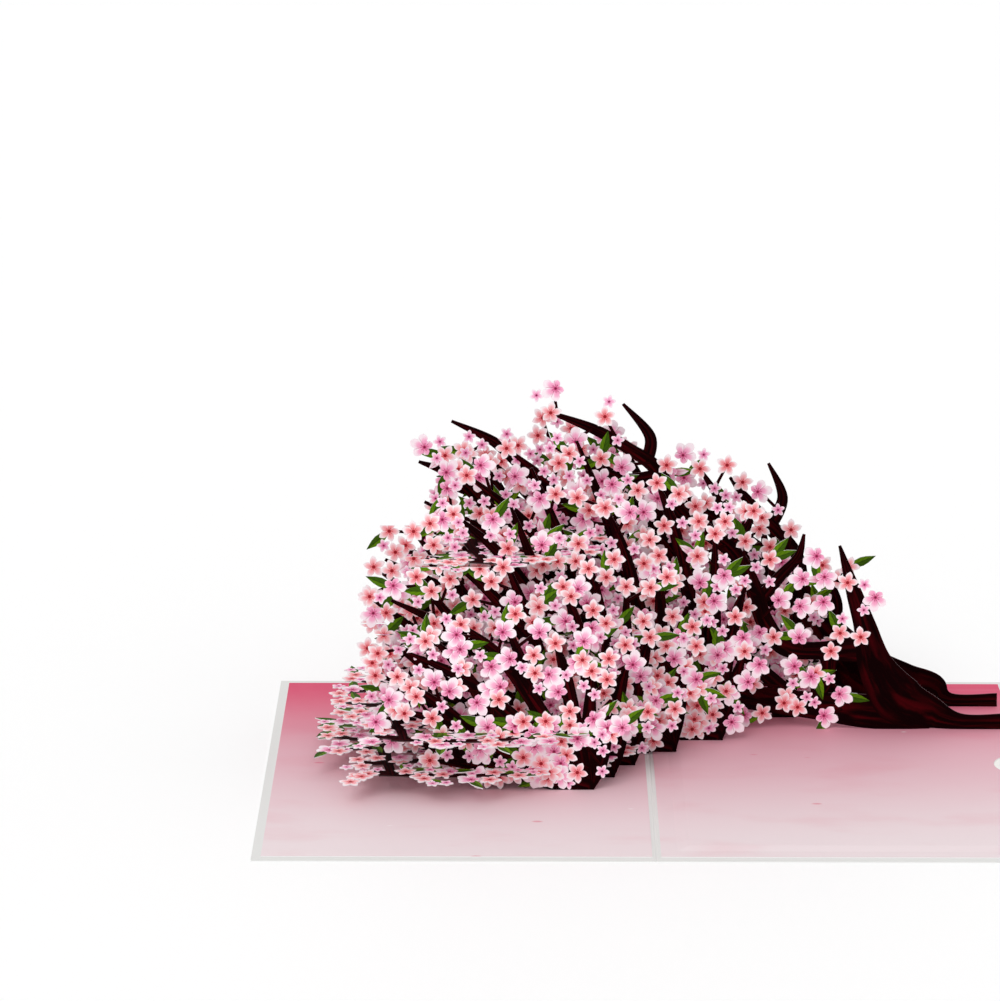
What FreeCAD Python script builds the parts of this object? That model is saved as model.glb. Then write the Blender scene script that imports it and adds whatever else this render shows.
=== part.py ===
import FreeCAD, Part
import math
import os
import random
import Sketcher
from FreeCAD import Vector

# Open greeting card with a blossom tree of die cut slices that cross in slots.
# X runs along the open card, Y away from the reader, Z up; the origin is on the
# spine, under the middle of the card. All sizes are in millimetres.

# Sheets of the card
PANEL_WIDTH = 127.0
PANEL_DEPTH = 177.8
CARD_THICKNESS = 0.4
CREASE_WIDTH = 0.9
CREASE_DEPTH = 0.2
LINER_THICKNESS = 0.25
LINER_BORDER = 3.0
LINER_GUTTER = 1.4
GLUE_MARGIN = 5.0
POCKET_SLOPE = 4.0
NOTCH_RADIUS = 10.0
NOTE_LEAF = 0.22
NOTE_FOLD_GAP = 0.06
NOTE_CLEARANCE = 1.0
NOTE_PLAY = 0.05
NOTE_SETBACK = 1.5
NOTE_CORNER = 5.0

# Slices of the tree
TREE_HEIGHT = 116.0
SLICE_THICKNESS = 0.35
SLOT_CLEARANCE = 0.05
SLOT_SHARE = 0.3
UPRIGHT_FIRST = -24.0
UPRIGHT_PITCH = 12.0
LEVEL_LOWEST = 8.0
LEVEL_SECOND = 20.0
LEVEL_THIRD = 46.0
LEVEL_TOP = 73.0
ROOT_END = 121.0
ROOT_HEIGHT = 5.6

# Blossoms, leaves and twigs
LARGE_BLOSSOM = 9.0
CORAL_BLOSSOM = 7.8
SMALL_BLOSSOM = 4.8
LEAF_LENGTH = 7.6
LEAF_WIDTH = 3.2
TWIG_WIDTH = 1.1
TWIG_REACH = 10.5
SPRAY_PITCH = 10.0
LEVEL_SPRAY_PITCH = 8.0
LEVEL_TWIG_REACH = 6.3
SMALLEST_CORNER = 6.0
SMALLEST_WINDOW = 110.0

SIZES = (
    ("panel_width", PANEL_WIDTH, "one panel, spine to side edge"),
    ("panel_depth", PANEL_DEPTH, "panel, front edge to back edge"),
    ("card_thickness", CARD_THICKNESS, "outer card stock"),
    ("crease_width", CREASE_WIDTH, "scored crease at the spine"),
    ("crease_depth", CREASE_DEPTH, "depth of the scored crease"),
    ("liner_thickness", LINER_THICKNESS, "printed liner"),
    ("liner_border", LINER_BORDER, "bare card shown round a liner"),
    ("liner_gutter", LINER_GUTTER, "bare card from spine to a liner"),
    ("glue_margin", GLUE_MARGIN, "glued margin on three sides of the pocket"),
    ("pocket_slope", POCKET_SLOPE, "run over which the pocket sheet rises"),
    ("notch_radius", NOTCH_RADIUS, "thumb notch at the mouth of the pocket"),
    ("note_leaf", NOTE_LEAF, "one leaf of the folded note"),
    ("note_fold_gap", NOTE_FOLD_GAP, "air between the two leaves of the note"),
    ("note_clearance", NOTE_CLEARANCE, "note to the pocket's glued margins"),
    ("note_play", NOTE_PLAY, "air over the note in the pocket"),
    ("note_setback", NOTE_SETBACK, "note's side edge behind the card's edge"),
    ("note_corner", NOTE_CORNER, "rounded corners of the note"),
    ("tree_height", TREE_HEIGHT, "tree, underside of the card to its highest limb"),
    ("slice_thickness", SLICE_THICKNESS, "die cut sheet"),
    ("slot_clearance", SLOT_CLEARANCE, "each side of a sheet in its slot"),
    ("slot_share", SLOT_SHARE, "share of a crossing that is cut in the upright slice"),
    ("upright_first", UPRIGHT_FIRST, "Y of the front upright slice"),
    ("upright_pitch", UPRIGHT_PITCH, "from one upright slice to the next"),
    ("level_lowest", LEVEL_LOWEST, "Z of the lowest level slice"),
    ("level_second", LEVEL_SECOND, "Z of the second level slice"),
    ("level_third", LEVEL_THIRD, "Z of the third level slice"),
    ("level_top", LEVEL_TOP, "Z of the top level slice"),
    ("root_end", ROOT_END, "X of the root strip's end"),
    ("root_height", ROOT_HEIGHT, "height of the root strip"),
    ("large_blossom", LARGE_BLOSSOM, "across a large blossom"),
    ("coral_blossom", CORAL_BLOSSOM, "across a coral blossom"),
    ("small_blossom", SMALL_BLOSSOM, "across a small blossom"),
    ("leaf_length", LEAF_LENGTH, "leaf, stalk to tip"),
    ("leaf_width", LEAF_WIDTH, "leaf at its widest"),
    ("twig_width", TWIG_WIDTH, "twig that carries blossoms"),
    ("twig_reach", TWIG_REACH, "longest twig"),
    ("spray_pitch", SPRAY_PITCH, "from one twig to the next along a limb"),
    ("level_spray_pitch", LEVEL_SPRAY_PITCH, "from one twig to the next on a level rib"),
    ("level_twig_reach", LEVEL_TWIG_REACH, "longest twig on a level rib"),
    ("smallest_corner", SMALLEST_CORNER, "area of the smallest corner that is cut"),
    ("smallest_window", SMALLEST_WINDOW, "area of the smallest opening that is cut"),
)

DOC = FreeCAD.newDocument("pop_up_card")
SHEET = DOC.addObject("Spreadsheet::Sheet", "sizes")
for row, (alias, value, meaning) in enumerate(SIZES, 1):
    SHEET.set("A%d" % row, meaning)
    SHEET.set("B%d" % row, str(value))
    SHEET.setAlias("B%d" % row, alias)
DOC.recompute()


def val(alias):
    """One driving size as a plain number."""
    return float(SHEET.get(alias))


left_seat = val("card_thickness") + val("liner_thickness")
note_height = 2 * val("note_leaf") + val("note_fold_gap")
pocket_height = note_height + val("note_play")
right_seat = left_seat + pocket_height

# A fan of limbs: the directions of its ends from the middle of the crown, in degrees,
# and where a limb bends twice, in shares of its run and of its rise
FAN_ENDS = (230, 207, 186, 167, 148, 129, 110, 90, 66, 40, 14, 346)
FAN_BENDS = (((0.32, 0.42), (0.68, 0.80)), ((0.50, 0.36), (0.76, 0.72)))
FAN_HALF_WIDTH = 3.0
FAN_BEND_HALF_WIDTH = 2.6
FAN_CURL_HALF_WIDTH = 2.0
FAN_FOOT_RISE = 1.0
FAN_LAP = 1.4
FAN_STEPS = 3
FAN_BARE = 5.0
FAN_STAGGER = 3.0
CROWN_SQUARENESS = 0.86
CROWN_FALL = 0.24
TIP_HALF_WIDTH = 0.5

# Every third limb of a fan ends in a bare point instead of a blossom
POINTED_EVERY = 3
BARE_TIP = 9.0

# Level slices: a stem that bows towards its left, and ribs left and right of it
STEM_SHARE = 0.22
STEM_BOW = 2.5
STEM_HALF_WIDTH = 2.4
STEM_END_HALF_WIDTH = 1.4
STEM_STEPS = 4
RIB_HALF_WIDTH = 2.1
RIB_BEND_HALF_WIDTH = 1.6
RIB_LAP = 1.6
RIB_BOW = 1.8
RIB_STEPS = 3
RIGHT_RIB_SPAN = 3
LEFT_RIB_SPAN = 2
LEVEL_BARE = 6.0

# The root strips: where each turns up into its trunk
FRONT_ROOT_START = 106.0
REAR_ROOT_START = 105.0
REAR_ROOT_SHARE = 0.86

# Draws along a limb: how far a twig turns off and reaches, and how often things grow
FULL_TURN = 2 * math.pi
TWIG_TURN = (0.5, 1.3)
TWIG_SHARE = (0.5, 1.0)
PITCH_SHARE = (0.75, 1.25)
LEAF_TURN = (-0.9, 0.9)
SECOND_SHARE = (0.0, 0.4)
SECOND_CHANCE = 0.5
LEAF_CHANCE = 0.35
PETAL_COUNT = 5
UPRIGHT_SEED = 1
LEVEL_SEED = 101

# A leaf's outline, in shares of its length and width
LEAF_CORNERS = ((0, 0), (0.4, 0.5), (1, 0), (0.4, -0.5))

# Height at which the heights in the tables below were drawn
DRAWN_HEIGHT = 116.0

# Each upright slice: name, left end, right end, top and foot of its crown
UPRIGHT = (
    ("first_blossom_slice", -88.0, -8.0, 63.0, -22.0),
    ("second_blossom_slice", -95.0, -2.0, 81.0, -15.0),
    ("third_blossom_slice", -98.0, 6.0, 94.0, -8.0),
    ("fourth_blossom_slice", -97.0, 18.0, 104.0, 6.0),
    ("fifth_blossom_slice", -87.0, 38.0, 110.0, 22.0),
    ("front_trunk_slice", -86.0, 66.0, 116.0, 72.0),
    ("inner_blossom_slice", -80.0, 56.0, 108.0, 48.0),
    ("rear_trunk_slice", -82.0, 62.0, 105.0, 74.0),
)

# Each level slice: name, size that holds its height, left end, right end,
# front end, back end
LEVEL = (
    ("lowest_level_slice", "level_lowest", -112.0, 2.0, -34.0, 60.0),
    ("second_level_slice", "level_second", -108.0, 6.0, -33.0, 60.0),
    ("third_level_slice", "level_third", -86.0, 2.0, -13.0, 54.0),
    ("top_level_slice", "level_top", -70.0, -12.0, -8.0, 46.0),
)

# Limbs of the trunk sheets: points as (x, height, half width), steps from one point to
# the next, the bare length before the first blossoms, and whether the end is bare
FRONT_LIMBS = (
    (((95, 7.5, 6.0), (85, 12, 8.6), (77, 24, 6.0), (73, 38, 3.8), (69, 50, 2.6),
      (64, 66, 0.5)), 3, 62.0, True),
    (((96, 6.4, 5.0), (76, 7.4, 6.0), (56, 9.6, 4.8), (38, 12, 4.4), (20, 16, 5.0),
      (2, 20, 5.0), (-14, 32, 4.6), (-29, 50, 4.2), (-41, 69, 3.6), (-54, 80, 2.8),
      (-65, 90, 2.0), (-77, 95, 0.5)), 3, 30.0, True),
    (((74, 30, 5.0), (58, 29, 3.2), (46, 30.5, 3.2), (39, 40, 3.0), (35, 52, 2.8),
      (28, 64, 2.8), (17, 73, 2.8), (8, 83, 2.7), (2, 93, 2.5), (-6, 99, 2.1),
      (-18, 106, 1.8), (-33, 112, 0.6)), 3, 12.0, False),
    (((-1, 95, 2.2), (0, 104, 1.9), (-9, 115, 0.5)), 3, 24.0, True),
    (((3, 90, 2.6), (-9, 89, 2.1), (-20, 95, 1.7), (-29, 96, 0.6)), 3, 10.0, True),
    (((37, 46, 2.4), (44, 55, 2.0), (50, 62, 1.5), (52, 70, 0.5)), 3, 6.0, True),
    (((26, 66, 2.2), (32, 71, 1.6), (35, 78, 0.5)), 3, 6.0, False),
    (((50, 11, 3.2), (36, 24, 2.4), (24, 32, 2.0), (18, 48, 0.5)), 3, 8.0, False),
    (((22, 17, 3.4), (14, 32, 2.8), (4, 46, 2.2), (2, 62, 0.5)), 3, 8.0, False),
    (((-14, 31, 3.8), (-40, 36, 2.8), (-62, 34, 2.0), (-80, 40, 0.5)), 3, 8.0, False),
    (((-27, 46, 3.4), (-24, 66, 3.0), (-32, 84, 2.6), (-42, 93, 2.2), (-52, 102, 1.7),
      (-66, 109, 0.5)), 3, 8.0, True),
    (((-37, 58, 3.0), (-58, 60, 2.2), (-70, 62, 1.6), (-79, 72, 0.5)), 3, 8.0, False),
    (((61, 26, 2.8), (60, 16, 2.2), (51, 9, 1.6)), 2, 6.0, False),
    (((-45, 73, 2.6), (-52, 88, 2.0), (-62, 99, 0.5)), 3, 6.0, False),
)
REAR_LIMBS = (
    (((98, 7.2, 6.2), (88, 9.2, 7.8), (73, 16, 8.4), (58, 32, 6.2), (47, 48, 4.6),
      (33, 60, 3.6), (14, 74, 2.8), (4, 84, 0.5)), 3, 62.0, False),
    (((86, 9.2, 6.4), (58, 12, 6.0), (36, 20, 4.6), (16, 36, 4.0), (-6, 52, 3.4),
      (-32, 66, 2.8), (-54, 82, 0.5)), 3, 26.0, False),
    (((52, 42, 3.6), (50, 56, 3.0), (38, 70, 2.4), (28, 83, 0.5)), 3, 8.0, True),
    (((42, 66, 2.4), (46, 76, 1.8), (41, 88, 0.5)), 3, 6.0, True),
    (((62, 26, 3.0), (65, 38, 2.2), (60, 52, 0.5)), 3, 8.0, False),
    (((36, 20, 3.6), (10, 16, 2.8), (-14, 20, 2.2), (-38, 14, 0.5)), 3, 8.0, False),
    (((14, 38, 3.2), (-16, 36, 2.8), (-48, 40, 2.0), (-76, 48, 0.5)), 3, 8.0, False),
    (((-6, 54, 3.0), (-14, 76, 2.4), (-26, 100, 0.5)), 3, 8.0, False),
    (((18, 71, 2.6), (4, 70, 2.0), (-10, 84, 1.5), (-12, 98, 0.5)), 3, 8.0, True),
    (((-30, 65, 2.6), (-52, 62, 2.0), (-72, 72, 0.5)), 3, 6.0, False),
)


def spline(points, steps):
    """Points on a smooth curve through (x, y, half width) points."""
    line = []
    last = len(points) - 1
    for i in range(last):
        a = points[max(i - 1, 0)]
        b = points[i]
        c = points[i + 1]
        d = points[min(i + 2, last)]
        for k in range(steps):
            f = k / steps
            line.append(tuple(
                0.5 * (2 * q + (r - p) * f + (2 * p - 5 * q + 4 * r - o) * f * f
                       + (3 * q - p - 3 * r + o) * f ** 3)
                for p, q, r, o in zip(a, b, c, d)))
    line.append(points[last])
    return line


def ribbon(line):
    """Outline of a limb that narrows to its tip."""
    left = []
    right = []
    for i, (x, y, half) in enumerate(line):
        before = line[max(i - 1, 0)]
        after = line[min(i + 1, len(line) - 1)]
        run = math.hypot(after[0] - before[0], after[1] - before[1])
        nx = -(after[1] - before[1]) / run
        ny = (after[0] - before[0]) / run
        left.append((x + nx * half, y + ny * half))
        right.append((x - nx * half, y - ny * half))
    return left + right[::-1]


def blossom(x, y, across, turn):
    """Outline of a blossom, from petal tip to petal tip."""
    outline = []
    for k in range(PETAL_COUNT):
        angle = turn + k * FULL_TURN / PETAL_COUNT
        outline.append((x + across / 2 * math.cos(angle), y + across / 2 * math.sin(angle)))
    return outline


def leaf(x, y, length, width, turn):
    """Outline of a pointed leaf that starts at (x, y)."""
    outline = []
    for along, side in LEAF_CORNERS:
        u = along * length
        v = side * width
        outline.append((x + u * math.cos(turn) - v * math.sin(turn),
                        y + u * math.sin(turn) + v * math.cos(turn)))
    return outline


def twig(x, y, end_x, end_y):
    """Outline of a thin straight twig."""
    half = val("twig_width") / 2
    return ribbon([(x, y, half), (end_x, end_y, half)])


def sprays(rng, line, start, pitch, longest, bare_end, floor):
    """Twigs with blossoms and leaves, left and right along a limb by turns.

    No blossom reaches below the floor. A bare end stays free of them.
    """
    shapes = []
    side = 1
    walked = 0.0
    due = start
    stop = sum(math.dist(a[:2], b[:2]) for a, b in zip(line, line[1:]))
    if bare_end:
        stop -= BARE_TIP
    for (x0, y0, _w0), (x1, y1, _w1) in zip(line, line[1:]):
        run = math.hypot(x1 - x0, y1 - y0)
        while due <= min(walked + run, stop):
            f = (due - walked) / run
            x = x0 + (x1 - x0) * f
            y = y0 + (y1 - y0) * f
            turn = math.atan2(y1 - y0, x1 - x0) + side * rng.uniform(*TWIG_TURN)
            reach = longest * rng.uniform(*TWIG_SHARE)
            across = val(rng.choice(("large_blossom", "coral_blossom")))
            end_x = x + reach * math.cos(turn)
            end_y = max(y + reach * math.sin(turn), floor + across / 2)
            shapes.append(twig(x, y, end_x, end_y))
            shapes.append(blossom(end_x, end_y, across, rng.uniform(0, FULL_TURN)))
            if rng.random() < SECOND_CHANCE:
                across = val(rng.choice(("coral_blossom", "small_blossom", "small_blossom")))
                part = rng.uniform(*SECOND_SHARE)
                low_y = max(y + (end_y - y) * part, floor + across / 2)
                shapes.append(blossom(x + (end_x - x) * part, low_y, across,
                                      rng.uniform(0, FULL_TURN)))
            if rng.random() < LEAF_CHANCE:
                shapes.append(leaf(end_x, end_y, val("leaf_length") + val("small_blossom") / 2,
                                   val("leaf_width"), turn + rng.uniform(*LEAF_TURN)))
            side = -side
            due += pitch * rng.uniform(*PITCH_SHARE)
        walked += run
    # A blossom closes any other end
    if not bare_end:
        x, y, _width = line[-1]
        shapes.append(blossom(x, max(y, floor + val("coral_blossom") / 2),
                              val("coral_blossom"), rng.uniform(0, FULL_TURN)))
    return shapes


def squared(share):
    """Fill out an oval towards its corners."""
    return math.copysign(abs(share) ** CROWN_SQUARENESS, share)


def fan(left, right, low, high, foot_x, foot_y):
    """Limbs that spread from a foot to the edge of a crown that falls to its right."""
    lines = []
    inset = val("large_blossom") / 2
    half_x = (right - left) / 2 - inset
    half_y = (high - low) / 2 - inset
    for number, degrees in enumerate(FAN_ENDS):
        angle = math.radians(degrees)
        share = squared(math.cos(angle))
        rise = half_y * (1 + squared(math.sin(angle))) * (1 - CROWN_FALL * max(0.0, share))
        tip_x = (left + right) / 2 + half_x * share
        tip_y = low + inset + rise
        run_x = tip_x - foot_x
        run_y = tip_y - foot_y
        (lean, lift), (curl_lean, curl_lift) = FAN_BENDS[number % 2]
        # Each limb starts a little behind the foot, so that the feet lap over each other
        back_step = FAN_LAP / math.hypot(run_x, run_y)
        lines.append(spline([
            (foot_x - back_step * run_x, foot_y - back_step * run_y, FAN_HALF_WIDTH),
            (foot_x + lean * run_x, foot_y + lift * run_y, FAN_BEND_HALF_WIDTH),
            (foot_x + curl_lean * run_x, foot_y + curl_lift * run_y, FAN_CURL_HALF_WIDTH),
            (tip_x, tip_y, TIP_HALF_WIDTH)], FAN_STEPS))
    return lines


def ribs(left, right, front, back):
    """Limbs of a level slice: a stem across it, and ribs between the upright slices."""
    half = (back - front) / 2
    middle = (back + front) / 2
    stem_x = left + STEM_SHARE * (right - left)
    inset = val("large_blossom") / 2
    lines = [spline([(stem_x + STEM_BOW, front + inset / 2, STEM_END_HALF_WIDTH),
                     (stem_x - STEM_BOW, middle, STEM_HALF_WIDTH),
                     (stem_x + STEM_BOW, back - inset / 2, STEM_END_HALF_WIDTH)], STEM_STEPS)]
    pitch = val("upright_pitch")
    y = val("upright_first") - pitch / 2
    number = 0
    while y < back:
        if y > front:
            width = math.sqrt(max(0.0, 1 - ((y - middle) / half) ** 2))
            reach_x = (right - left) / 2 * width
            mid_x = (left + right) / 2
            bow = RIB_BOW if number % 2 else -RIB_BOW
            right_x = max(mid_x + reach_x - inset, stem_x + RIGHT_RIB_SPAN * inset)
            left_x = min(mid_x - reach_x + inset, stem_x - LEFT_RIB_SPAN * inset)
            lines.append(spline([(stem_x - RIB_LAP, y, RIB_HALF_WIDTH),
                                 ((stem_x + right_x) / 2, y + bow, RIB_BEND_HALF_WIDTH),
                                 (right_x, y - bow, TIP_HALF_WIDTH)], RIB_STEPS))
            lines.append(spline([(stem_x + RIB_LAP, y, RIB_HALF_WIDTH),
                                 ((stem_x + left_x) / 2, y - bow, RIB_BEND_HALF_WIDTH),
                                 (left_x, y + bow, TIP_HALF_WIDTH)], RIB_STEPS))
        y += pitch
        number += 1
    return lines


def trunk(limbs, root, root_start):
    """Limbs of a trunk sheet, its root strip first."""
    rise = val("tree_height") / DRAWN_HEIGHT
    lines = []
    for number, (points, steps, _bare, _bare_end) in enumerate(limbs):
        line = [(x, height * rise, half) for x, height, half in points]
        if number == 0:
            base = right_seat + root
            line = [(val("root_end"), base, root), (root_start, base, root)] + line
        lines.append(spline(line, steps))
    return lines


def rectangle(x0, y0, x1, y1):
    """Outline of a rectangle, turning left."""
    return [(x0, y0), (x1, y0), (x1, y1), (x0, y1)]


def turned_area(outline):
    """Area of an outline, positive where it turns left."""
    return sum(x0 * y1 - x1 * y0
               for (x0, y0), (x1, y1) in zip(outline, outline[1:] + outline[:1])) / 2


def inside(point, outline):
    """Whether a point lies within an outline."""
    x, y = point
    within = False
    for (x0, y0), (x1, y1) in zip(outline, outline[1:] + outline[:1]):
        if (y0 > y) != (y1 > y) and x < x0 + (y - y0) * (x1 - x0) / (y1 - y0):
            within = not within
    return within


class Shape:
    """A closed outline, solid or void, with the points where others cross its edges."""

    def __init__(self, outline, void=False):
        self.outline = outline if turned_area(outline) > 0 else outline[::-1]
        self.void = void
        self.edges = list(zip(self.outline, self.outline[1:] + self.outline[:1]))
        self.cuts = [[] for _edge in self.edges]
        xs = [x for x, _y in outline]
        ys = [y for _x, y in outline]
        self.low = (min(xs), min(ys))
        self.high = (max(xs), max(ys))
        self.near = []

    def meets(self, other):
        """Whether the boxes of two shapes overlap."""
        return all(self.low[k] < other.high[k] and other.low[k] < self.high[k] for k in (0, 1))

    def holds(self, point):
        """Whether a point lies within the shape."""
        return (self.low[0] < point[0] < self.high[0] and self.low[1] < point[1] < self.high[1]
                and inside(point, self.outline))


def cross_at(one, other):
    """Shares along two edges at which they cross, or None."""
    (ax, ay), (bx, by) = one
    (cx, cy), (dx, dy) = other
    spread = (bx - ax) * (dy - cy) - (by - ay) * (dx - cx)
    if spread == 0:
        return None
    f = ((cx - ax) * (dy - cy) - (cy - ay) * (dx - cx)) / spread
    g = ((cx - ax) * (by - ay) - (cy - ay) * (bx - ax)) / spread
    return (f, g) if 0 < f < 1 and 0 < g < 1 else None


def mark_crossings(one, other):
    """Note on both shapes where their edges cross."""
    for i, edge in enumerate(one.edges):
        for j, other_edge in enumerate(other.edges):
            shares = cross_at(edge, other_edge)
            if shares:
                (ax, ay), (bx, by) = edge
                point = (ax + shares[0] * (bx - ax), ay + shares[0] * (by - ay))
                one.cuts[i].append((shares[0], point))
                other.cuts[j].append((shares[1], point))


def joined_loops(shapes):
    """Loops round the union of the solid shapes, less the voids."""
    for number, one in enumerate(shapes):
        for other in shapes[number + 1:]:
            if one.meets(other):
                one.near.append(other)
                other.near.append(one)
                mark_crossings(one, other)
    following = {}
    for one in shapes:
        for (start, end), cuts in zip(one.edges, one.cuts):
            stops = [start] + [point for _f, point in sorted(cuts)] + [end]
            for p, q in zip(stops, stops[1:]):
                middle = ((p[0] + q[0]) / 2, (p[1] + q[1]) / 2)
                over = [other for other in one.near if other.holds(middle)]
                solid = any(not other.void for other in over)
                void = any(other.void for other in over)
                if one.void and solid and not void:
                    following[q] = p
                elif not one.void and not solid and not void:
                    following[p] = q
    loops = []
    while following:
        first, point = following.popitem()
        loop = [first]
        while point != first:
            loop.append(point)
            point = following.pop(point)
        loops.append(loop)
    return loops


# A corner flatter than this is no corner, and no loop is eased to fewer corners than this
FLAT_CORNER = 1e-6
FEWEST_CORNERS = 4


def corner_area(a, b, c):
    """Area of the triangle at a corner."""
    return abs((b[0] - a[0]) * (c[1] - a[1]) - (b[1] - a[1]) * (c[0] - a[0])) / 2


def eased(loop, others, fixed, slots):
    """A loop without the corners that are too small to be cut.

    Fixed corners stay unless they are flat. A corner also stays where another point of the
    die line lies inside it, so no line crosses, and where a slot passes through it.
    """
    points = list(loop)

    def weight(i):
        """Area of a corner, or infinity where it is fixed."""
        area = corner_area(points[i - 1], points[i], points[(i + 1) % len(points)])
        return math.inf if points[i] in fixed and area > FLAT_CORNER else area

    areas = [weight(i) for i in range(len(points))]
    while len(points) > FEWEST_CORNERS and min(areas) < val("smallest_corner"):
        i = areas.index(min(areas))
        count = len(points)
        corner = [points[i - 1], points[i], points[(i + 1) % count]]
        low_x = min(x for x, _y in corner)
        high_x = max(x for x, _y in corner)
        low_y = min(y for _x, y in corner)
        high_y = max(y for _x, y in corner)
        close_by = [p for p in points + others if low_x <= p[0] <= high_x
                    and low_y <= p[1] <= high_y and p not in corner]
        shortcut = (corner[0], corner[2])
        slotted = any(cross_at(shortcut, edge) for slot in slots for edge in slot.edges)
        if slotted or any(inside(p, corner) for p in close_by):
            areas[i] = math.inf
            continue
        del points[i]
        del areas[i]
        for k in (i - 1, i % len(points)):
            areas[k] = weight(k)
    return points


def die_line(outlines, slots, ground):
    """One face: all outlines joined, slots and ground cut out, small windows left closed."""
    voids = [Shape(outline, True) for outline in slots + ground]
    loops = joined_loops([Shape(outline) for outline in outlines] + voids)
    fixed = {point for void in voids for point in void.outline}
    for slot in voids[:len(slots)]:
        fixed.update(point for cuts in slot.cuts for _f, point in cuts)
    outer = max(loops, key=turned_area)
    windows = [loop for loop in loops
               if turned_area(loop) < -val("smallest_window") and inside(loop[0], outer)]
    void_points = [point for void in voids for point in void.outline]
    wires = []
    for loop in [outer] + windows:
        others = [point for other in [outer] + windows if other is not loop for point in other]
        rounded = eased(loop, others + void_points, fixed, voids[:len(slots)])
        points = [Vector(x, y, 0) for x, y in rounded]
        wires.append(Part.makePolygon(points + points[:1]))
    face = Part.Face(wires, "Part::FaceMakerBullseye")
    return face


def crossing(upright, level):
    """X at which the slots of an upright and a level slice meet."""
    left = max(upright[1], level[2])
    right = min(upright[2], level[3])
    return left + val("slot_share") * (right - left)


def upright_y(number):
    """Depth at which an upright slice stands."""
    return val("upright_first") + number * val("upright_pitch")


# Farther than any piece reaches
REACH = 1.2 * PANEL_WIDTH
slot_half = val("slice_thickness") / 2 + val("slot_clearance")


def crosses(number, level):
    """Whether an upright and a level slice come near enough to need slots."""
    fringe = val("level_twig_reach") + val("large_blossom") / 2
    top = UPRIGHT[number][3] * val("tree_height") / DRAWN_HEIGHT
    return (val(level[1]) < top + val("twig_reach")
            and level[4] - fringe < upright_y(number) < level[5] + fringe)


def upright_outline(number, row):
    """Die line of an upright slice, in X and Z."""
    name, left, right, top, foot = row
    rng = random.Random(UPRIGHT_SEED + number)
    root = val("root_height") / 2
    seat = left_seat if foot < 0 else right_seat
    if name == "front_trunk_slice":
        limbs = trunk(FRONT_LIMBS, root, FRONT_ROOT_START)
        growth = [row[2:] for row in FRONT_LIMBS]
    elif name == "rear_trunk_slice":
        limbs = trunk(REAR_LIMBS, REAR_ROOT_SHARE * root, REAR_ROOT_START)
        growth = [row[2:] for row in REAR_LIMBS]
    else:
        limbs = fan(left, right, seat, top * val("tree_height") / DRAWN_HEIGHT, foot,
                    seat + FAN_FOOT_RISE)
        growth = [(FAN_BARE + FAN_STAGGER * (index % POINTED_EVERY),
                   index % POINTED_EVERY == 1) for index in range(len(FAN_ENDS))]
    shapes = [ribbon(limb) for limb in limbs]
    for limb, (start, bare_end) in zip(limbs, growth):
        shapes += sprays(rng, limb, start, val("spray_pitch"), val("twig_reach"), bare_end,
                         seat)
    # Nothing reaches below the liners, and the sheet stays clear of the step at the spine
    ground = [(-REACH, -REACH), (REACH, -REACH), (REACH, right_seat), (0, right_seat),
              (0, left_seat), (-REACH, left_seat)]
    slots = []
    for level in LEVEL:
        if crosses(number, level):
            z = val(level[1])
            slots.append(rectangle(-REACH, z - slot_half, crossing(row, level), z + slot_half))
    return die_line(shapes, slots, [ground])


def level_outline(number, row):
    """Die line of a level slice, in X and Y."""
    name, height, left, right, front, back = row
    rng = random.Random(LEVEL_SEED + number)
    limbs = ribs(left, right, front, back)
    shapes = [ribbon(limb) for limb in limbs]
    for limb in limbs[1:]:
        shapes += sprays(rng, limb, LEVEL_BARE, val("level_spray_pitch"),
                         val("level_twig_reach"), False, -REACH)
    slots = []
    for index, upright in enumerate(UPRIGHT):
        if crosses(index, row):
            y = upright_y(index)
            slots.append(rectangle(crossing(upright, row), y - slot_half, REACH, y + slot_half))
    return die_line(shapes, slots, [])


def slice_sheet(name, face, placement):
    """A die cut sheet: its face, given the thickness of the stock."""
    line = DOC.addObject("Part::Feature", name + "_die_line")
    line.Shape = face
    line.Placement = placement
    sheet = DOC.addObject("Part::Extrusion", name)
    sheet.Label = name
    sheet.Base = line
    sheet.DirMode = "Normal"
    sheet.Solid = True
    sheet.Symmetric = True
    sheet.setExpression("LengthFwd", "sizes.slice_thickness")
    return sheet


# The corners of a sketch start on this oval, before their sizes place them
START_LONG = 7.0
START_SHORT = 5.0


def closed_sketch(body, name, plane, corners):
    """Sketch a closed outline on an origin plane, each corner bound to the sizes."""
    sketch = body.newObject("Sketcher::SketchObject", name)
    base = [item for item in body.Origin.OriginFeatures if item.Role == plane][0]
    sketch.AttachmentSupport = [(base, "")]
    sketch.MapMode = "FlatFace"
    count = len(corners)
    for i in range(count):
        start = Vector(START_LONG * math.cos(i), START_SHORT * math.sin(i), 0)
        end = Vector(START_LONG * math.cos(i + 1), START_SHORT * math.sin(i + 1), 0)
        sketch.addGeometry(Part.LineSegment(start, end), False)
    for i in range(count):
        sketch.addConstraint(Sketcher.Constraint("Coincident", i, 2, (i + 1) % count, 1))
    for i, (across, up) in enumerate(corners):
        for kind, rule in (("DistanceX", across), ("DistanceY", up)):
            place = sketch.addConstraint(Sketcher.Constraint(kind, -1, 1, i, 1, 1.0 + i))
            sketch.setExpression("Constraints[%d]" % place, rule)
    return sketch


def pad(body, sketch, rule):
    """Give a sketch its thickness."""
    feature = body.newObject("PartDesign::Pad", sketch.Name + "_pad")
    feature.Profile = sketch
    feature.Type = "Length"
    feature.setExpression("Length", rule)
    body.Tip = feature
    return feature


def new_body(name):
    """An empty body whose label names its piece."""
    body = DOC.addObject("PartDesign::Body", name)
    body.Label = name
    return body


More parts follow.
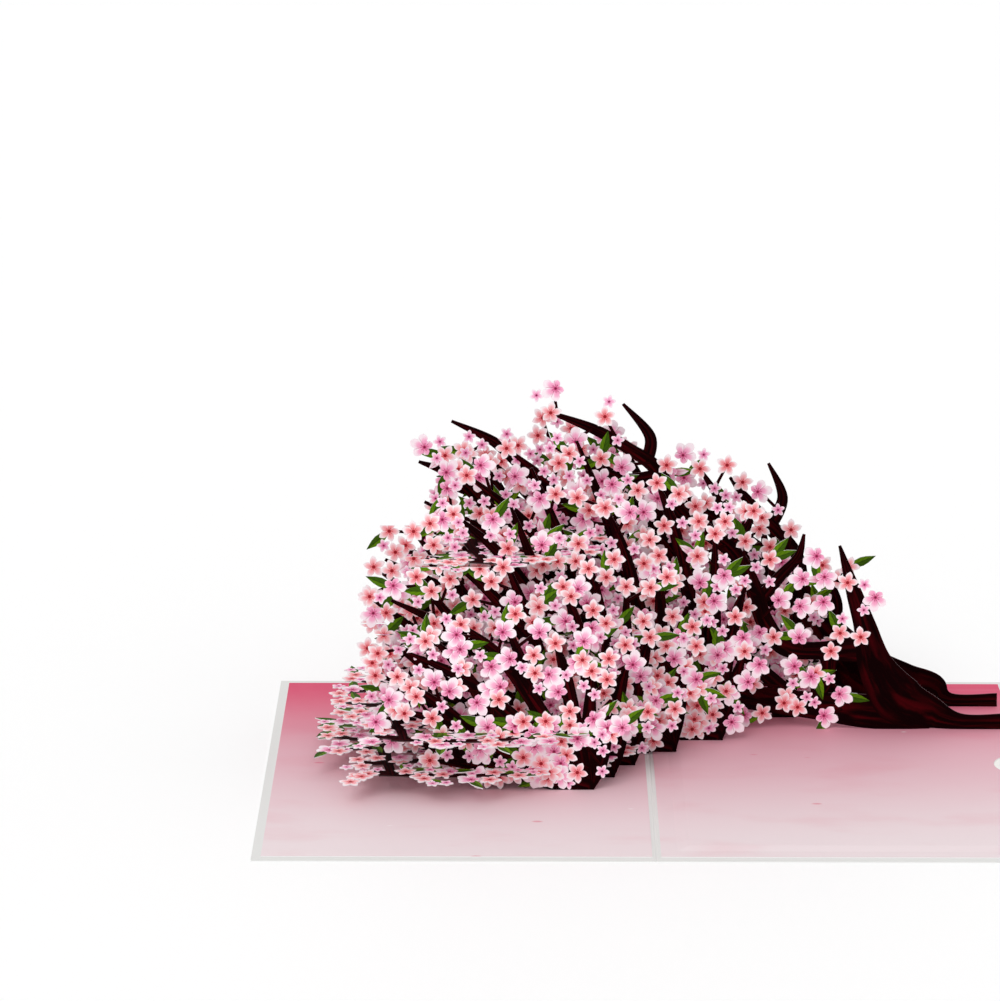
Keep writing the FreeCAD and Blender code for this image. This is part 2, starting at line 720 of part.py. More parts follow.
def outer_card():
    """The folded card lying open: one sheet with a scored crease at the spine."""
    body = new_body("outer_card")
    top = "sizes.card_thickness"
    corners = [("-sizes.panel_width", "0"), ("sizes.panel_width", "0"),
               ("sizes.panel_width", top), ("sizes.crease_width / 2", top),
               ("0", top + " - sizes.crease_depth"), ("-sizes.crease_width / 2", top),
               ("-sizes.panel_width", top)]
    sketch = closed_sketch(body, "card_section", "XZ_Plane", corners)
    pad(body, sketch, "sizes.panel_depth")
    body.setExpression("Placement.Base.y", "sizes.panel_depth / 2")
    return body


def left_liner():
    """The printed sheet glued flat on the left panel."""
    body = new_body("left_liner")
    far = "-sizes.panel_width + sizes.liner_border"
    front = "-sizes.panel_depth / 2 + sizes.liner_border"
    back = "sizes.panel_depth / 2 - sizes.liner_border"
    corners = [(far, front), ("-sizes.liner_gutter", front), ("-sizes.liner_gutter", back),
               (far, back)]
    sketch = closed_sketch(body, "left_liner_outline", "XY_Plane", corners)
    pad(body, sketch, "sizes.liner_thickness")
    body.setExpression("Placement.Base.z", "sizes.card_thickness")
    return body


def raised_block(name, base, rise):
    """The pocket's raised part: a low block that narrows upwards on three sides."""
    block = DOC.addObject("Part::Wedge", name)
    half = "sizes.panel_depth / 2 - sizes.liner_border - sizes.glue_margin"
    start = "sizes.liner_gutter + sizes.glue_margin"
    rules = {
        "Xmin": start, "Xmax": "sizes.panel_width - sizes.liner_border",
        "X2min": start + " + sizes.pocket_slope",
        "X2max": "sizes.panel_width - sizes.liner_border",
        "Ymin": "0", "Ymax": rise,
        "Zmin": "-(" + half + ")", "Zmax": half,
        "Z2min": "-(" + half + " - sizes.pocket_slope)", "Z2max": half + " - sizes.pocket_slope",
    }
    for prop, rule in rules.items():
        block.setExpression(prop, rule)
    block.Placement = FreeCAD.Placement(Vector(0, 0, 0),
                                        FreeCAD.Rotation(Vector(1, 0, 0), 90))
    block.setExpression("Placement.Base.z", base)
    return block


def right_liner():
    """The printed sheet on the right panel: glued on three sides, a pocket with a notch."""
    rise = "2 * sizes.note_leaf + sizes.note_fold_gap + sizes.note_play"
    plate_box = DOC.addObject("Part::Box", "pocket_margins")
    rules = {
        "Length": "sizes.panel_width - sizes.liner_border - sizes.liner_gutter",
        "Width": "sizes.panel_depth - 2 * sizes.liner_border",
        "Height": "sizes.liner_thickness",
        "Placement.Base.x": "sizes.liner_gutter",
        "Placement.Base.y": "-sizes.panel_depth / 2 + sizes.liner_border",
        "Placement.Base.z": "sizes.card_thickness",
    }
    for prop, rule in rules.items():
        plate_box.setExpression(prop, rule)
    outside = raised_block("pocket_outside", "sizes.card_thickness + sizes.liner_thickness", rise)
    hollow = raised_block("pocket_inside", "sizes.card_thickness", rise)
    notch = DOC.addObject("Part::Cylinder", "thumb_notch")
    notch.setExpression("Radius", "sizes.notch_radius")
    notch.setExpression("Height", "2 * sizes.notch_radius")
    notch.setExpression("Placement.Base.x", "sizes.panel_width - sizes.liner_border")
    sheet = DOC.addObject("Part::Fuse", "pocket_sheet")
    sheet.Base = plate_box
    sheet.Tool = outside
    shell = DOC.addObject("Part::Cut", "pocket_shell")
    shell.Base = sheet
    shell.Tool = hollow
    liner = DOC.addObject("Part::Cut", "right_liner")
    liner.Label = "right_liner"
    liner.Base = shell
    liner.Tool = notch
    return liner


def note_card():
    """The folded note that rests in the pocket, its fold towards the spine."""
    body = new_body("note_card")
    leaf_rule = "sizes.note_leaf"
    long_rule = ("sizes.panel_width - sizes.note_setback - sizes.liner_gutter"
                 " - sizes.glue_margin - sizes.pocket_slope - sizes.note_clearance")
    gap_top = leaf_rule + " + sizes.note_fold_gap"
    full = "2 * " + leaf_rule + " + sizes.note_fold_gap"
    corners = [("0", "0"), (long_rule, "0"), (long_rule, leaf_rule), (leaf_rule, leaf_rule),
               (leaf_rule, gap_top), (long_rule, gap_top), (long_rule, full), ("0", full)]
    sketch = closed_sketch(body, "note_section", "XZ_Plane", corners)
    wide_rule = ("sizes.panel_depth - 2 * (sizes.liner_border + sizes.glue_margin"
                 " + sizes.pocket_slope + sizes.note_clearance)")
    folded = pad(body, sketch, wide_rule)
    DOC.recompute()
    far_x = folded.Shape.BoundBox.XMax
    shortest = val("note_leaf") / 2
    names = []
    for number, edge in enumerate(folded.Shape.Edges):
        ends = [vertex.Point for vertex in edge.Vertexes]
        upright = abs(ends[0].z - ends[1].z) > shortest
        if upright and all(far_x - point.x < shortest for point in ends):
            names.append("Edge%d" % (number + 1))
    rounded = body.newObject("PartDesign::Fillet", "note_corners")
    rounded.Base = (folded, names)
    rounded.setExpression("Radius", "sizes.note_corner")
    body.Tip = rounded
    body.setExpression("Placement.Base.x", "sizes.liner_gutter + sizes.glue_margin"
                       " + sizes.pocket_slope + sizes.note_clearance")
    body.setExpression("Placement.Base.y", "(" + wide_rule + ") / 2")
    body.setExpression("Placement.Base.z", "sizes.card_thickness")
    return body


PIECES = [outer_card(), left_liner(), right_liner(), note_card()]
for number, row in enumerate(UPRIGHT):
    turned = FreeCAD.Placement(Vector(0, upright_y(number), 0),
                               FreeCAD.Rotation(Vector(1, 0, 0), 90))
    PIECES.append(slice_sheet(row[0], upright_outline(number, row), turned))
for number, row in enumerate(LEVEL):
    lifted = FreeCAD.Placement(Vector(0, 0, val(row[1])), FreeCAD.Rotation())
    PIECES.append(slice_sheet(row[0], level_outline(number, row), lifted))

DOC.recompute()
for item in DOC.Objects:
    if "Invalid" in item.State or "Error" in item.State:
        raise RuntimeError("%s failed: %s" % (item.Label, item.State))
for piece in PIECES:
    shape = piece.Shape
    if shape.isNull() or not shape.isValid() or len(shape.Solids) != 1:
        raise RuntimeError("%s has no sound shape" % piece.Label)
os.makedirs("parts", exist_ok=True)
for piece in PIECES:
    shape = piece.Shape
    box = shape.BoundBox
    print("%s: %d faces, %.1f mm3, X %.2f to %.2f, Y %.2f to %.2f, Z %.2f to %.2f" % (
        piece.Label, len(shape.Faces), shape.Volume, box.XMin, box.XMax, box.YMin, box.YMax,
        box.ZMin, box.ZMax))
    shape.exportStep("parts/%s.step" % piece.Label)
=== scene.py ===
import math
import random
from collections import namedtuple

import bpy
import numpy as np
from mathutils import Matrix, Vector
from mathutils.geometry import delaunay_2d_cdt


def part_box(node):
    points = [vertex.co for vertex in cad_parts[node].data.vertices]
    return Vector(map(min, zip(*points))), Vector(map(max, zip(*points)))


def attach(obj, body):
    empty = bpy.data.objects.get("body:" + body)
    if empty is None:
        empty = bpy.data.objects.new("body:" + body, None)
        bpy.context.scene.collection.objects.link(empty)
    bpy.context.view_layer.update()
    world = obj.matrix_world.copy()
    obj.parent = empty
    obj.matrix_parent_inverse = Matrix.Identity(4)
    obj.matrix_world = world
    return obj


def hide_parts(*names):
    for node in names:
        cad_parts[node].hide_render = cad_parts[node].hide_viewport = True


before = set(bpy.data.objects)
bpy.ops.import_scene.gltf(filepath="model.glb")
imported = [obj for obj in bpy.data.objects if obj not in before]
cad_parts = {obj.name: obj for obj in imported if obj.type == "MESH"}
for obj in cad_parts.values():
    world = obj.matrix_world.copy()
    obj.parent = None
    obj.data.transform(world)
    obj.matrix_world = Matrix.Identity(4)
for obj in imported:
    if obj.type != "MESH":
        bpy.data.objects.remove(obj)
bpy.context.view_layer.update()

bl_info = {
    "name": "Blossom pop up card",
    "version": (1, 0, 0),
    "blender": (4, 5, 0),
    "location": "View3D > Sidebar > Card",
    "description": "Dresses an open pop up card with its printed liners and blossom slices",
    "category": "Object",
}

MM = 0.001

# Sizes that the die lines share with the solids, in millimetres
TREE_HEIGHT = 116.0
ROOT_END = 121.0
ROOT_HEIGHT = 5.6
UPRIGHT_FIRST = -24.0
UPRIGHT_PITCH = 12.0
SLOT_CLEARANCE = 0.05
SLOT_SHARE = 0.3
REACH = 152.4

# A fan of limbs: the directions of its ends from the middle of the crown, in degrees,
# and where a limb bends twice, in shares of its run and of its rise, by turns
FAN_ENDS = (230, 207, 186, 167, 148, 129, 110, 90, 66, 40, 14, 346)
FAN_BENDS = (((0.32, 0.42), (0.68, 0.80)), ((0.50, 0.36), (0.76, 0.72)))

# A fan's limbs: half widths at the foot and at both bends, how high the foot lies above its
# liner, the lap over the foot, steps from one point to the next, and the bare length before
# the first twig, which grows from one limb to the next
FAN_HALF_WIDTH = 3.0
FAN_BEND_HALF_WIDTH = 2.6
FAN_CURL_HALF_WIDTH = 2.0
FAN_FOOT_RISE = 1.0
FAN_LAP = 1.4
FAN_STEPS = 3
FAN_BARE = 5.0
FAN_STAGGER = 3.0

# A crown's outline: the power that fills its corners, and how far its right end falls
CROWN_SQUARENESS = 0.86
CROWN_FALL = 0.24
TIP_HALF_WIDTH = 0.5

# Every third limb of a fan ends in a bare point instead of a blossom
POINTED_EVERY = 3
BARE_TIP = 9.0

# Level slices: a stem that bows towards its left, and ribs left and right of it
STEM_SHARE = 0.22
STEM_BOW = 2.5
STEM_HALF_WIDTH = 2.4
STEM_END_HALF_WIDTH = 1.4
STEM_STEPS = 4
RIB_HALF_WIDTH = 2.1
RIB_BEND_HALF_WIDTH = 1.6
RIB_LAP = 1.6
RIB_BOW = 1.8
RIB_STEPS = 3
RIGHT_RIB_SPAN = 3
LEFT_RIB_SPAN = 2
LEVEL_BARE = 6.0

# The root strips: where each turns up into its trunk
FRONT_ROOT_START = 106.0
REAR_ROOT_START = 105.0
REAR_ROOT_SHARE = 0.86

# Draws along a limb: how far a twig turns off in radians, its share of the longest twig,
# the step to the next twig as a share of the pitch, and a twig's taper
FULL_TURN = 2 * math.pi
TWIG_TURN = (0.5, 1.3)
TWIG_SHARE = (0.5, 1.0)
PITCH_SHARE = (0.75, 1.25)
TWIG_TAPER = 0.8

# A second blossom may stand part of the way out on a twig, and a leaf may grow at its end
SECOND_SHARE = (0.0, 0.4)
SECOND_CHANCE = 0.5
LEAF_TURN = (-0.9, 0.9)
LEAF_CHANCE = 0.35
TWIG_KINDS = ("large_blossom", "coral_blossom")
SECOND_KINDS = ("coral_blossom", "small_blossom", "small_blossom")
UPRIGHT_SEED = 1
LEVEL_SEED = 101

# The print has draws of its own, added to a slice's seed, and finer steps along its limbs
PRINT_SEED = 500
PRINT_STEPS = 3

# Further leaves and buds at the twigs' ends, in the print alone
MORE_LEAF_CHANCE = 0.34
MORE_LEAF_TURN = (-1.8, 1.8)
MORE_LEAF_LENGTH = 1.25
BUD_CHANCE = 0.16
BUD_TURN = (-1.4, 1.4)
BUD_LENGTH = 7.2
BUD_WIDTH = 2.6

# Further blossoms near each twig's end, in the print alone: how many, how many tries for
# each, how far out, and their kinds
EXTRA_BLOSSOMS = 3
EXTRA_TRIES = 9
EXTRA_REACH = 9.0
EXTRA_KINDS = ("small_blossom",) * 5 + ("coral_blossom", "coral_blossom", "large_blossom")

# How near they stand: the least distance of two middles in shares of both radii, and in
# shares of the new one's radius, how much more it may be and the least gap to a limb's edge
EXTRA_SPACING = 0.78
EXTRA_SLACK = 0.4
LIMB_SPACING = 0.1

# Blossoms printed over the feet of the fans: how many draws, how far out and how high
FOOT_DRAWS = 14
FOOT_SPREAD = 9.0
FOOT_RISE = 20.0
FOOT_KINDS = ("coral_blossom", "coral_blossom", "large_blossom", "small_blossom")

# Where prints overlap, the one of the highest rank shows. Each limb of a slice lies a
# little under the one before it, and the blossoms' ranks are spread by a draw
LIMB_RANK_STEP = -0.001
TWIG_RANK = 1.0
LEAF_RANK = 2.0
MORE_LEAF_RANK = 2.2
BUD_RANK = 2.5
BLOSSOM_RANKS = {"large_blossom": 3.0, "coral_blossom": 3.3, "small_blossom": 3.8}
BLOSSOM_RANK_SPREAD = 2.0

# The tint of what doesn't differ from one shape to the next
PLAIN_TINT = 0.5

# Height at which the heights in the tables below were drawn
DRAWN_HEIGHT = 116.0

Upright = namedtuple("Upright", "name left right top foot")
Level = namedtuple("Level", "name height left right front back")

# Each upright slice: name, left end, right end, top and foot of its crown
UPRIGHT = (
    Upright("first_blossom_slice", -88.0, -8.0, 63.0, -22.0),
    Upright("second_blossom_slice", -95.0, -2.0, 81.0, -15.0),
    Upright("third_blossom_slice", -98.0, 6.0, 94.0, -8.0),
    Upright("fourth_blossom_slice", -97.0, 18.0, 104.0, 6.0),
    Upright("fifth_blossom_slice", -87.0, 38.0, 110.0, 22.0),
    Upright("front_trunk_slice", -86.0, 66.0, 116.0, 72.0),
    Upright("inner_blossom_slice", -80.0, 56.0, 108.0, 48.0),
    Upright("rear_trunk_slice", -82.0, 62.0, 105.0, 74.0),
)

# Each level slice: name, height, left end, right end, front end, back end
LEVEL = (
    Level("lowest_level_slice", 8.0, -112.0, 2.0, -34.0, 60.0),
    Level("second_level_slice", 20.0, -108.0, 6.0, -33.0, 60.0),
    Level("third_level_slice", 46.0, -86.0, 2.0, -13.0, 54.0),
    Level("top_level_slice", 73.0, -70.0, -12.0, -8.0, 46.0),
)

# Limbs of the trunk sheets: points as (x, height, half width), steps from one point to
# the next, the bare length before the first blossoms, and whether the end is bare
FRONT_LIMBS = (
    (((95, 7.5, 6.0), (85, 12, 8.6), (77, 24, 6.0), (73, 38, 3.8), (69, 50, 2.6),
      (64, 66, 0.5)), 3, 62.0, True),
    (((96, 6.4, 5.0), (76, 7.4, 6.0), (56, 9.6, 4.8), (38, 12, 4.4), (20, 16, 5.0),
      (2, 20, 5.0), (-14, 32, 4.6), (-29, 50, 4.2), (-41, 69, 3.6), (-54, 80, 2.8),
      (-65, 90, 2.0), (-77, 95, 0.5)), 3, 30.0, True),
    (((74, 30, 5.0), (58, 29, 3.2), (46, 30.5, 3.2), (39, 40, 3.0), (35, 52, 2.8),
      (28, 64, 2.8), (17, 73, 2.8), (8, 83, 2.7), (2, 93, 2.5), (-6, 99, 2.1),
      (-18, 106, 1.8), (-33, 112, 0.6)), 3, 12.0, False),
    (((-1, 95, 2.2), (0, 104, 1.9), (-9, 115, 0.5)), 3, 24.0, True),
    (((3, 90, 2.6), (-9, 89, 2.1), (-20, 95, 1.7), (-29, 96, 0.6)), 3, 10.0, True),
    (((37, 46, 2.4), (44, 55, 2.0), (50, 62, 1.5), (52, 70, 0.5)), 3, 6.0, True),
    (((26, 66, 2.2), (32, 71, 1.6), (35, 78, 0.5)), 3, 6.0, False),
    (((50, 11, 3.2), (36, 24, 2.4), (24, 32, 2.0), (18, 48, 0.5)), 3, 8.0, False),
    (((22, 17, 3.4), (14, 32, 2.8), (4, 46, 2.2), (2, 62, 0.5)), 3, 8.0, False),
    (((-14, 31, 3.8), (-40, 36, 2.8), (-62, 34, 2.0), (-80, 40, 0.5)), 3, 8.0, False),
    (((-27, 46, 3.4), (-24, 66, 3.0), (-32, 84, 2.6), (-42, 93, 2.2), (-52, 102, 1.7),
      (-66, 109, 0.5)), 3, 8.0, True),
    (((-37, 58, 3.0), (-58, 60, 2.2), (-70, 62, 1.6), (-79, 72, 0.5)), 3, 8.0, False),
    (((61, 26, 2.8), (60, 16, 2.2), (51, 9, 1.6)), 2, 6.0, False),
    (((-45, 73, 2.6), (-52, 88, 2.0), (-62, 99, 0.5)), 3, 6.0, False),
)
REAR_LIMBS = (
    (((98, 7.2, 6.2), (88, 9.2, 7.8), (73, 16, 8.4), (58, 32, 6.2), (47, 48, 4.6),
      (33, 60, 3.6), (14, 74, 2.8), (4, 84, 0.5)), 3, 62.0, False),
    (((86, 9.2, 6.4), (58, 12, 6.0), (36, 20, 4.6), (16, 36, 4.0), (-6, 52, 3.4),
      (-32, 66, 2.8), (-54, 82, 0.5)), 3, 26.0, False),
    (((52, 42, 3.6), (50, 56, 3.0), (38, 70, 2.4), (28, 83, 0.5)), 3, 8.0, True),
    (((42, 66, 2.4), (46, 76, 1.8), (41, 88, 0.5)), 3, 6.0, True),
    (((62, 26, 3.0), (65, 38, 2.2), (60, 52, 0.5)), 3, 8.0, False),
    (((36, 20, 3.6), (10, 16, 2.8), (-14, 20, 2.2), (-38, 14, 0.5)), 3, 8.0, False),
    (((14, 38, 3.2), (-16, 36, 2.8), (-48, 40, 2.0), (-76, 48, 0.5)), 3, 8.0, False),
    (((-6, 54, 3.0), (-14, 76, 2.4), (-26, 100, 0.5)), 3, 8.0, False),
    (((18, 71, 2.6), (4, 70, 2.0), (-10, 84, 1.5), (-12, 98, 0.5)), 3, 8.0, True),
    (((-30, 65, 2.6), (-52, 62, 2.0), (-72, 72, 0.5)), 3, 6.0, False),
)

# The trunk sheets: their limbs, where the root turns up, and its share of the root's height
TRUNKS = {"front_trunk_slice": (FRONT_LIMBS, FRONT_ROOT_START, 1.0),
          "rear_trunk_slice": (REAR_LIMBS, REAR_ROOT_START, REAR_ROOT_SHARE)}

# Petals: the angle from a petal's middle in radians, and the share of the blossom's radius.
# The last point of each lies in the notch before the next petal
PETAL_COUNT = 5
PETALS = {
    "large_blossom": ((-0.51, 0.74), (-0.34, 0.87), (-0.13, 0.95), (0.0, 1.0), (0.13, 0.95),
                      (0.34, 0.87), (0.51, 0.74), (0.6283, 0.60)),
    "coral_blossom": ((-0.46, 0.68), (-0.29, 0.82), (-0.10, 0.94), (0.0, 1.0), (0.10, 0.94),
                      (0.29, 0.82), (0.46, 0.68), (0.6283, 0.50)),
    "small_blossom": ((-0.43, 0.70), (-0.20, 0.90), (0.0, 1.0), (0.20, 0.90), (0.43, 0.70),
                      (0.6283, 0.50)),
}
# A large blossom is seen a little from one side, so its petals differ
PETAL_LENGTHS = {"large_blossom": (1.0, 0.93, 0.76, 0.79, 0.97),
                 "coral_blossom": (1.0, 0.97, 0.93, 0.97, 1.0),
                 "small_blossom": (1.0, 1.0, 1.0, 1.0, 1.0)}
# How far the heart lies towards the short petals, in shares of the blossom's radius
HEART_SHIFT = {"large_blossom": 0.16, "coral_blossom": 0.02, "small_blossom": 0.0}

# One side of a leaf and of a bud: shares of its length, and of its width
LEAF_SIDE = ((0.0, 0.0), (0.1, 0.22), (0.28, 0.43), (0.48, 0.5), (0.68, 0.38), (0.86, 0.17),
             (1.0, 0.0))
BUD_SIDE = ((0.0, 0.12), (0.16, 0.42), (0.34, 0.34), (0.5, 0.48), (0.75, 0.36), (1.0, 0.0))

INKS = ("paper_edge", "limb_edge", "limb", "leaf", "large_blossom", "coral_blossom",
        "small_blossom", "bud")

# Tops of both liners and the thickness of a slice, as the solids have them
LEFT_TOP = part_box("left_liner")[1].z / MM
RIGHT_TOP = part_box("right_liner")[1].z / MM
slice_low, slice_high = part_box("lowest_level_slice")
SLICE_THICKNESS = (slice_high.z - slice_low.z) / MM
HALF_SLOT = SLICE_THICKNESS / 2 + SLOT_CLEARANCE

# Corners of a die line that lie closer than this, in millimetres, are one corner, and
# only the triangles that lie inside some outline are kept
CORNER_REACH = 1e-4
INSIDE_ONLY = 1

# A limb's own frame divides by these at least, in millimetres, and counts in centimetres
LEAST_RUN = 1e-6
LEAST_HALF_WIDTH = 0.4
MM_PER_CM = 10

# Paper: how matt and how shiny it is, how deep its fibres are in metres, and how many
# fibres, patches of gloss and drifting petals lie in a metre
ROUGHNESS = 0.62
SHINE = 0.3
BARK_SHINE = 0.02
LEAF_SHINE = 0.1
FIBRE_DEPTH = 0.00001
FIBRES = 2600.0
GLOSS_PATCHES = 90.0
DRIFTING_PETALS = 55.0

# Linear colours of the flecks on a liner, and of its cut edge
FLECK = (0.93, 0.88, 0.89)
CUT_EDGE = (0.86, 0.84, 0.84)

# For each blossom, in shares of its radius: the eye's size, how far the heart's colour
# runs out, and how wide the pale rim is
BLOSSOM_LOOKS = {"large_blossom": (0.12, 0.56, 0.42), "coral_blossom": (0.19, 0.80, 0.36),
                 "small_blossom": (0.18, 0.60, 0.40)}

# The camera: its place in metres, the way it looks, and its lens and sensor in millimetres
CAMERA_PLACE = (-0.041, -1.383, 0.4884)
CAMERA_AIM = (-0.0060, 0.9612, -0.2756)
CAMERA_LENS = 158.8
CAMERA_REACH = 30.0
SENSOR = 36.0

# Light: the room's, the lamp's with its direction and spread, and the floor with its glow
ROOM_LIGHT = 0.79
SUN_STRENGTH = 1.0
SUN_DIRECTION = (0.45, 0.95, -1.05)
SUN_ANGLE = 0.6
FLOOR_SIZE = 8.0
FLOOR_COLOUR = (0.94, 0.94, 0.94, 1.0)
FLOOR_GLOW = 0.05

# Outputs of the light path that say what looks at a surface
CAMERA_RAY, GLOSSY_RAY, TRANSMISSION_RAY = 0, 3, 6


def length_property(label, text, value):
    """A size that a user would change, in metres."""
    return bpy.props.FloatProperty(name=label, description=text, default=value, unit="LENGTH")


def colour_property(label, text, value):
    """A colour that a user would change."""
    return bpy.props.FloatVectorProperty(
        name=label, description=text, subtype="COLOR", size=3, min=0, max=1, default=value)


def ink(red, green, blue):
    """A linear colour from the red, green and blue of an ink on screen."""
    return tuple(((part / 255 + 0.055) / 1.055) ** 2.4 if part > 10 else part / 255 / 12.92
                 for part in (red, green, blue))


class BlossomSizes(bpy.types.PropertyGroup):
    """Sizes of the printed shapes."""

    large: length_property("Large blossom", "Across a large blossom", 0.0090)
    coral: length_property("Coral blossom", "Across a coral blossom", 0.0078)
    small: length_property("Small blossom", "Across a small blossom", 0.0048)
    leaf_length: length_property("Leaf length", "Stalk to tip of a leaf", 0.0076)
    leaf_width: length_property("Leaf width", "Widest part of a leaf", 0.0032)
    twig_width: length_property("Twig width", "Width of a twig", 0.0011)
    twig_reach: length_property("Twig reach", "Longest twig", 0.0105)
    spray_pitch: length_property("Spray pitch", "From one twig to the next", 0.010)
    level_pitch: length_property("Level spray pitch", "From one twig to the next on a rib", 0.008)
    level_reach: length_property("Level twig reach", "Longest twig on a level rib", 0.0063)


class CardColours(bpy.types.PropertyGroup):
    """Inks and paper, as linear colours."""

    card: colour_property("Card", "Bare card stock", ink(226, 226, 224))
    edge: colour_property("Edge", "Cut edge of a slice", ink(232, 226, 228))
    limb_edge: colour_property("Limb edge", "Cut edge along a printed limb", ink(92, 66, 68))
    note: colour_property("Note", "Note card", ink(244, 243, 238))
    liner_back: colour_property("Liner back", "Liner ink at the back edge", ink(212, 70, 107))
    liner_middle: colour_property("Liner middle", "Liner ink half way", ink(221, 163, 177))
    liner_front: colour_property("Liner front", "Liner ink at the front", ink(233, 218, 221))
    bark: colour_property("Bark", "Limbs in shade", ink(14, 0, 1))
    bark_light: colour_property("Bark light", "Lit streaks on the limbs", ink(66, 2, 8))
    leaf_dark: colour_property("Leaf", "Leaf beside its rib", ink(30, 62, 0))
    leaf_light: colour_property("Leaf light", "Leaf's lit half", ink(104, 146, 6))
    pink_rim: colour_property("Pink rim", "Edge of a large blossom", ink(255, 240, 247))
    pink_body: colour_property("Pink body", "Petals of a large blossom", ink(251, 173, 207))
    pink_heart: colour_property("Pink heart", "Middle of a large blossom", ink(206, 62, 122))
    coral_rim: colour_property("Coral rim", "Tips of a coral blossom", ink(255, 245, 248))
    coral_body: colour_property("Coral body", "Petals of a coral blossom", ink(255, 194, 199))
    coral_heart: colour_property("Coral heart", "Middle of a coral blossom", ink(234, 84, 94))
    coral_eye: colour_property("Coral eye", "Eye of a coral blossom", ink(150, 8, 24))
    small_rim: colour_property("Small rim", "Tips of a small blossom", ink(255, 238, 247))
    small_body: colour_property("Small body", "Petals of a small blossom", ink(254, 184, 215))
    small_heart: colour_property("Small heart", "Middle of a small blossom", ink(224, 90, 156))
    eye: colour_property("Eye", "Eye of the pink blossoms", ink(126, 10, 56))


# Node maths

class Wire:
    """A node socket that takes part in Python arithmetic."""

    def __init__(self, recipe, socket):
        self.recipe = recipe
        self.socket = socket

    def __add__(self, other):
        return self.recipe.maths("ADD", self, other)

    def __radd__(self, other):
        return self.recipe.maths("ADD", other, self)

    def __sub__(self, other):
        return self.recipe.maths("SUBTRACT", self, other)

    def __rsub__(self, other):
        return self.recipe.maths("SUBTRACT", other, self)

    def __mul__(self, other):
        return self.recipe.maths("MULTIPLY", self, other)

    def __rmul__(self, other):
        return self.recipe.maths("MULTIPLY", other, self)

    def __truediv__(self, other):
        return self.recipe.maths("DIVIDE", self, other)

    def __rtruediv__(self, other):
        return self.recipe.maths("DIVIDE", other, self)

    def __abs__(self):
        return self.recipe.maths("ABSOLUTE", self)


class Recipe:
    """A node tree, with one method for every kind of node."""

    def __init__(self, tree):
        self.tree = tree

    def node(self, kind, settings=None, values=None, output=0):
        """Add a node, set it up, then fill or link its sockets."""
        node = self.tree.nodes.new(kind)
        for key, value in (settings or {}).items():
            setattr(node, key, value)
        for key, value in (values or {}).items():
            self.feed(node, key, value)
        return Wire(self, node.outputs[output])

    def feed(self, node, name, value):
        """Link or set one of a node's sockets."""
        if isinstance(value, Wire):
            self.tree.links.new(value.socket, node.inputs[name])
        else:
            node.inputs[name].default_value = value

    def maths(self, operation, *operands):
        """One Math node on numbers."""
        return self.node("ShaderNodeMath", {"operation": operation}, dict(enumerate(operands)))

    def smooth(self, value, low, high):
        """0 below low, 1 above high, and a smooth rise between."""
        return self.node("ShaderNodeMapRange", {"interpolation_type": "SMOOTHSTEP"},
                         {"Value": value, "From Min": low, "From Max": high})

    def mix(self, share, first, second):
        """Mix two colours."""
        values = {"Factor": share}
        for key, colour in ((6, first), (7, second)):
            values[key] = colour if isinstance(colour, Wire) else (*colour, 1.0)
        return self.node("ShaderNodeMix", {"data_type": "RGBA", "clamp_factor": True},
                         values, output=2)

    def parts(self, vector):
        """The three numbers of a vector."""
        split = self.node("ShaderNodeSeparateXYZ", None, {0: vector}).socket.node
        return [Wire(self, output) for output in split.outputs]

    def object_place(self):
        """The point on the card, in metres."""
        return self.node("ShaderNodeTexCoord", output=3)

    def print_place(self):
        """Along and across in a printed shape's own frame."""
        place = self.node("ShaderNodeUVMap", {"uv_map": "print"})
        return self.parts(place)[:2]

    def tint(self):
        """A number that differs from one printed shape to the next."""
        return self.node("ShaderNodeAttribute", {"attribute_name": "tint"}, output=2)

    def noise(self, place, scale, detail=2.0):
        """Soft random variation."""
        return self.node("ShaderNodeTexNoise", None,
                         {"Vector": place, "Scale": scale, "Detail": detail})

    def stretched(self, place, x, y, z):
        """A place scaled differently along each axis."""
        return self.node("ShaderNodeVectorMath", {"operation": "MULTIPLY"},
                         {0: place, 1: (x, y, z)})

    def seen(self):
        """1 where the camera, a mirror or glass looks straight at the surface."""
        camera, glossy, through = [self.node("ShaderNodeLightPath", output=number)
                                   for number in (CAMERA_RAY, GLOSSY_RAY, TRANSMISSION_RAY)]
        return self.maths("MAXIMUM", self.maths("MAXIMUM", camera, glossy), through)


class Finish(Recipe):
    """A material: a node tree that ends in one shader."""

    def __init__(self, name, shine=SHINE):
        self.material = bpy.data.materials.new(name)
        self.material.use_nodes = True
        super().__init__(self.material.node_tree)
        self.shader = self.tree.nodes["Principled BSDF"]
        self.feed(self.shader, "Roughness", ROUGHNESS)
        self.feed(self.shader, "Specular IOR Level", shine)

    def on_paper(self, colour):
        """Print or bare paper: the colour, the paper's fibres and its uneven gloss."""
        place = self.object_place()
        relief = self.node("ShaderNodeBump", None,
                           {"Strength": 1.0, "Distance": FIBRE_DEPTH,
                            "Height": self.noise(place, FIBRES, 3.0)})
        self.feed(self.shader, "Normal", relief)
        self.feed(self.shader, "Base Color", colour)
        self.feed(self.shader, "Roughness", 0.55 + 0.18 * self.noise(place, GLOSS_PATCHES))
        return self.material


def scaled(colour, share):
    """A colour made darker or brighter."""
    return tuple(share * part for part in colour)


def paper_material(name, colour):
    """Bare matt card with faint fibres."""
    recipe = Finish(name)
    place = recipe.object_place()
    cloud = recipe.noise(place, 35.0, 4.0)
    return recipe.on_paper(recipe.mix(cloud, scaled(colour, 0.955), tuple(colour)))


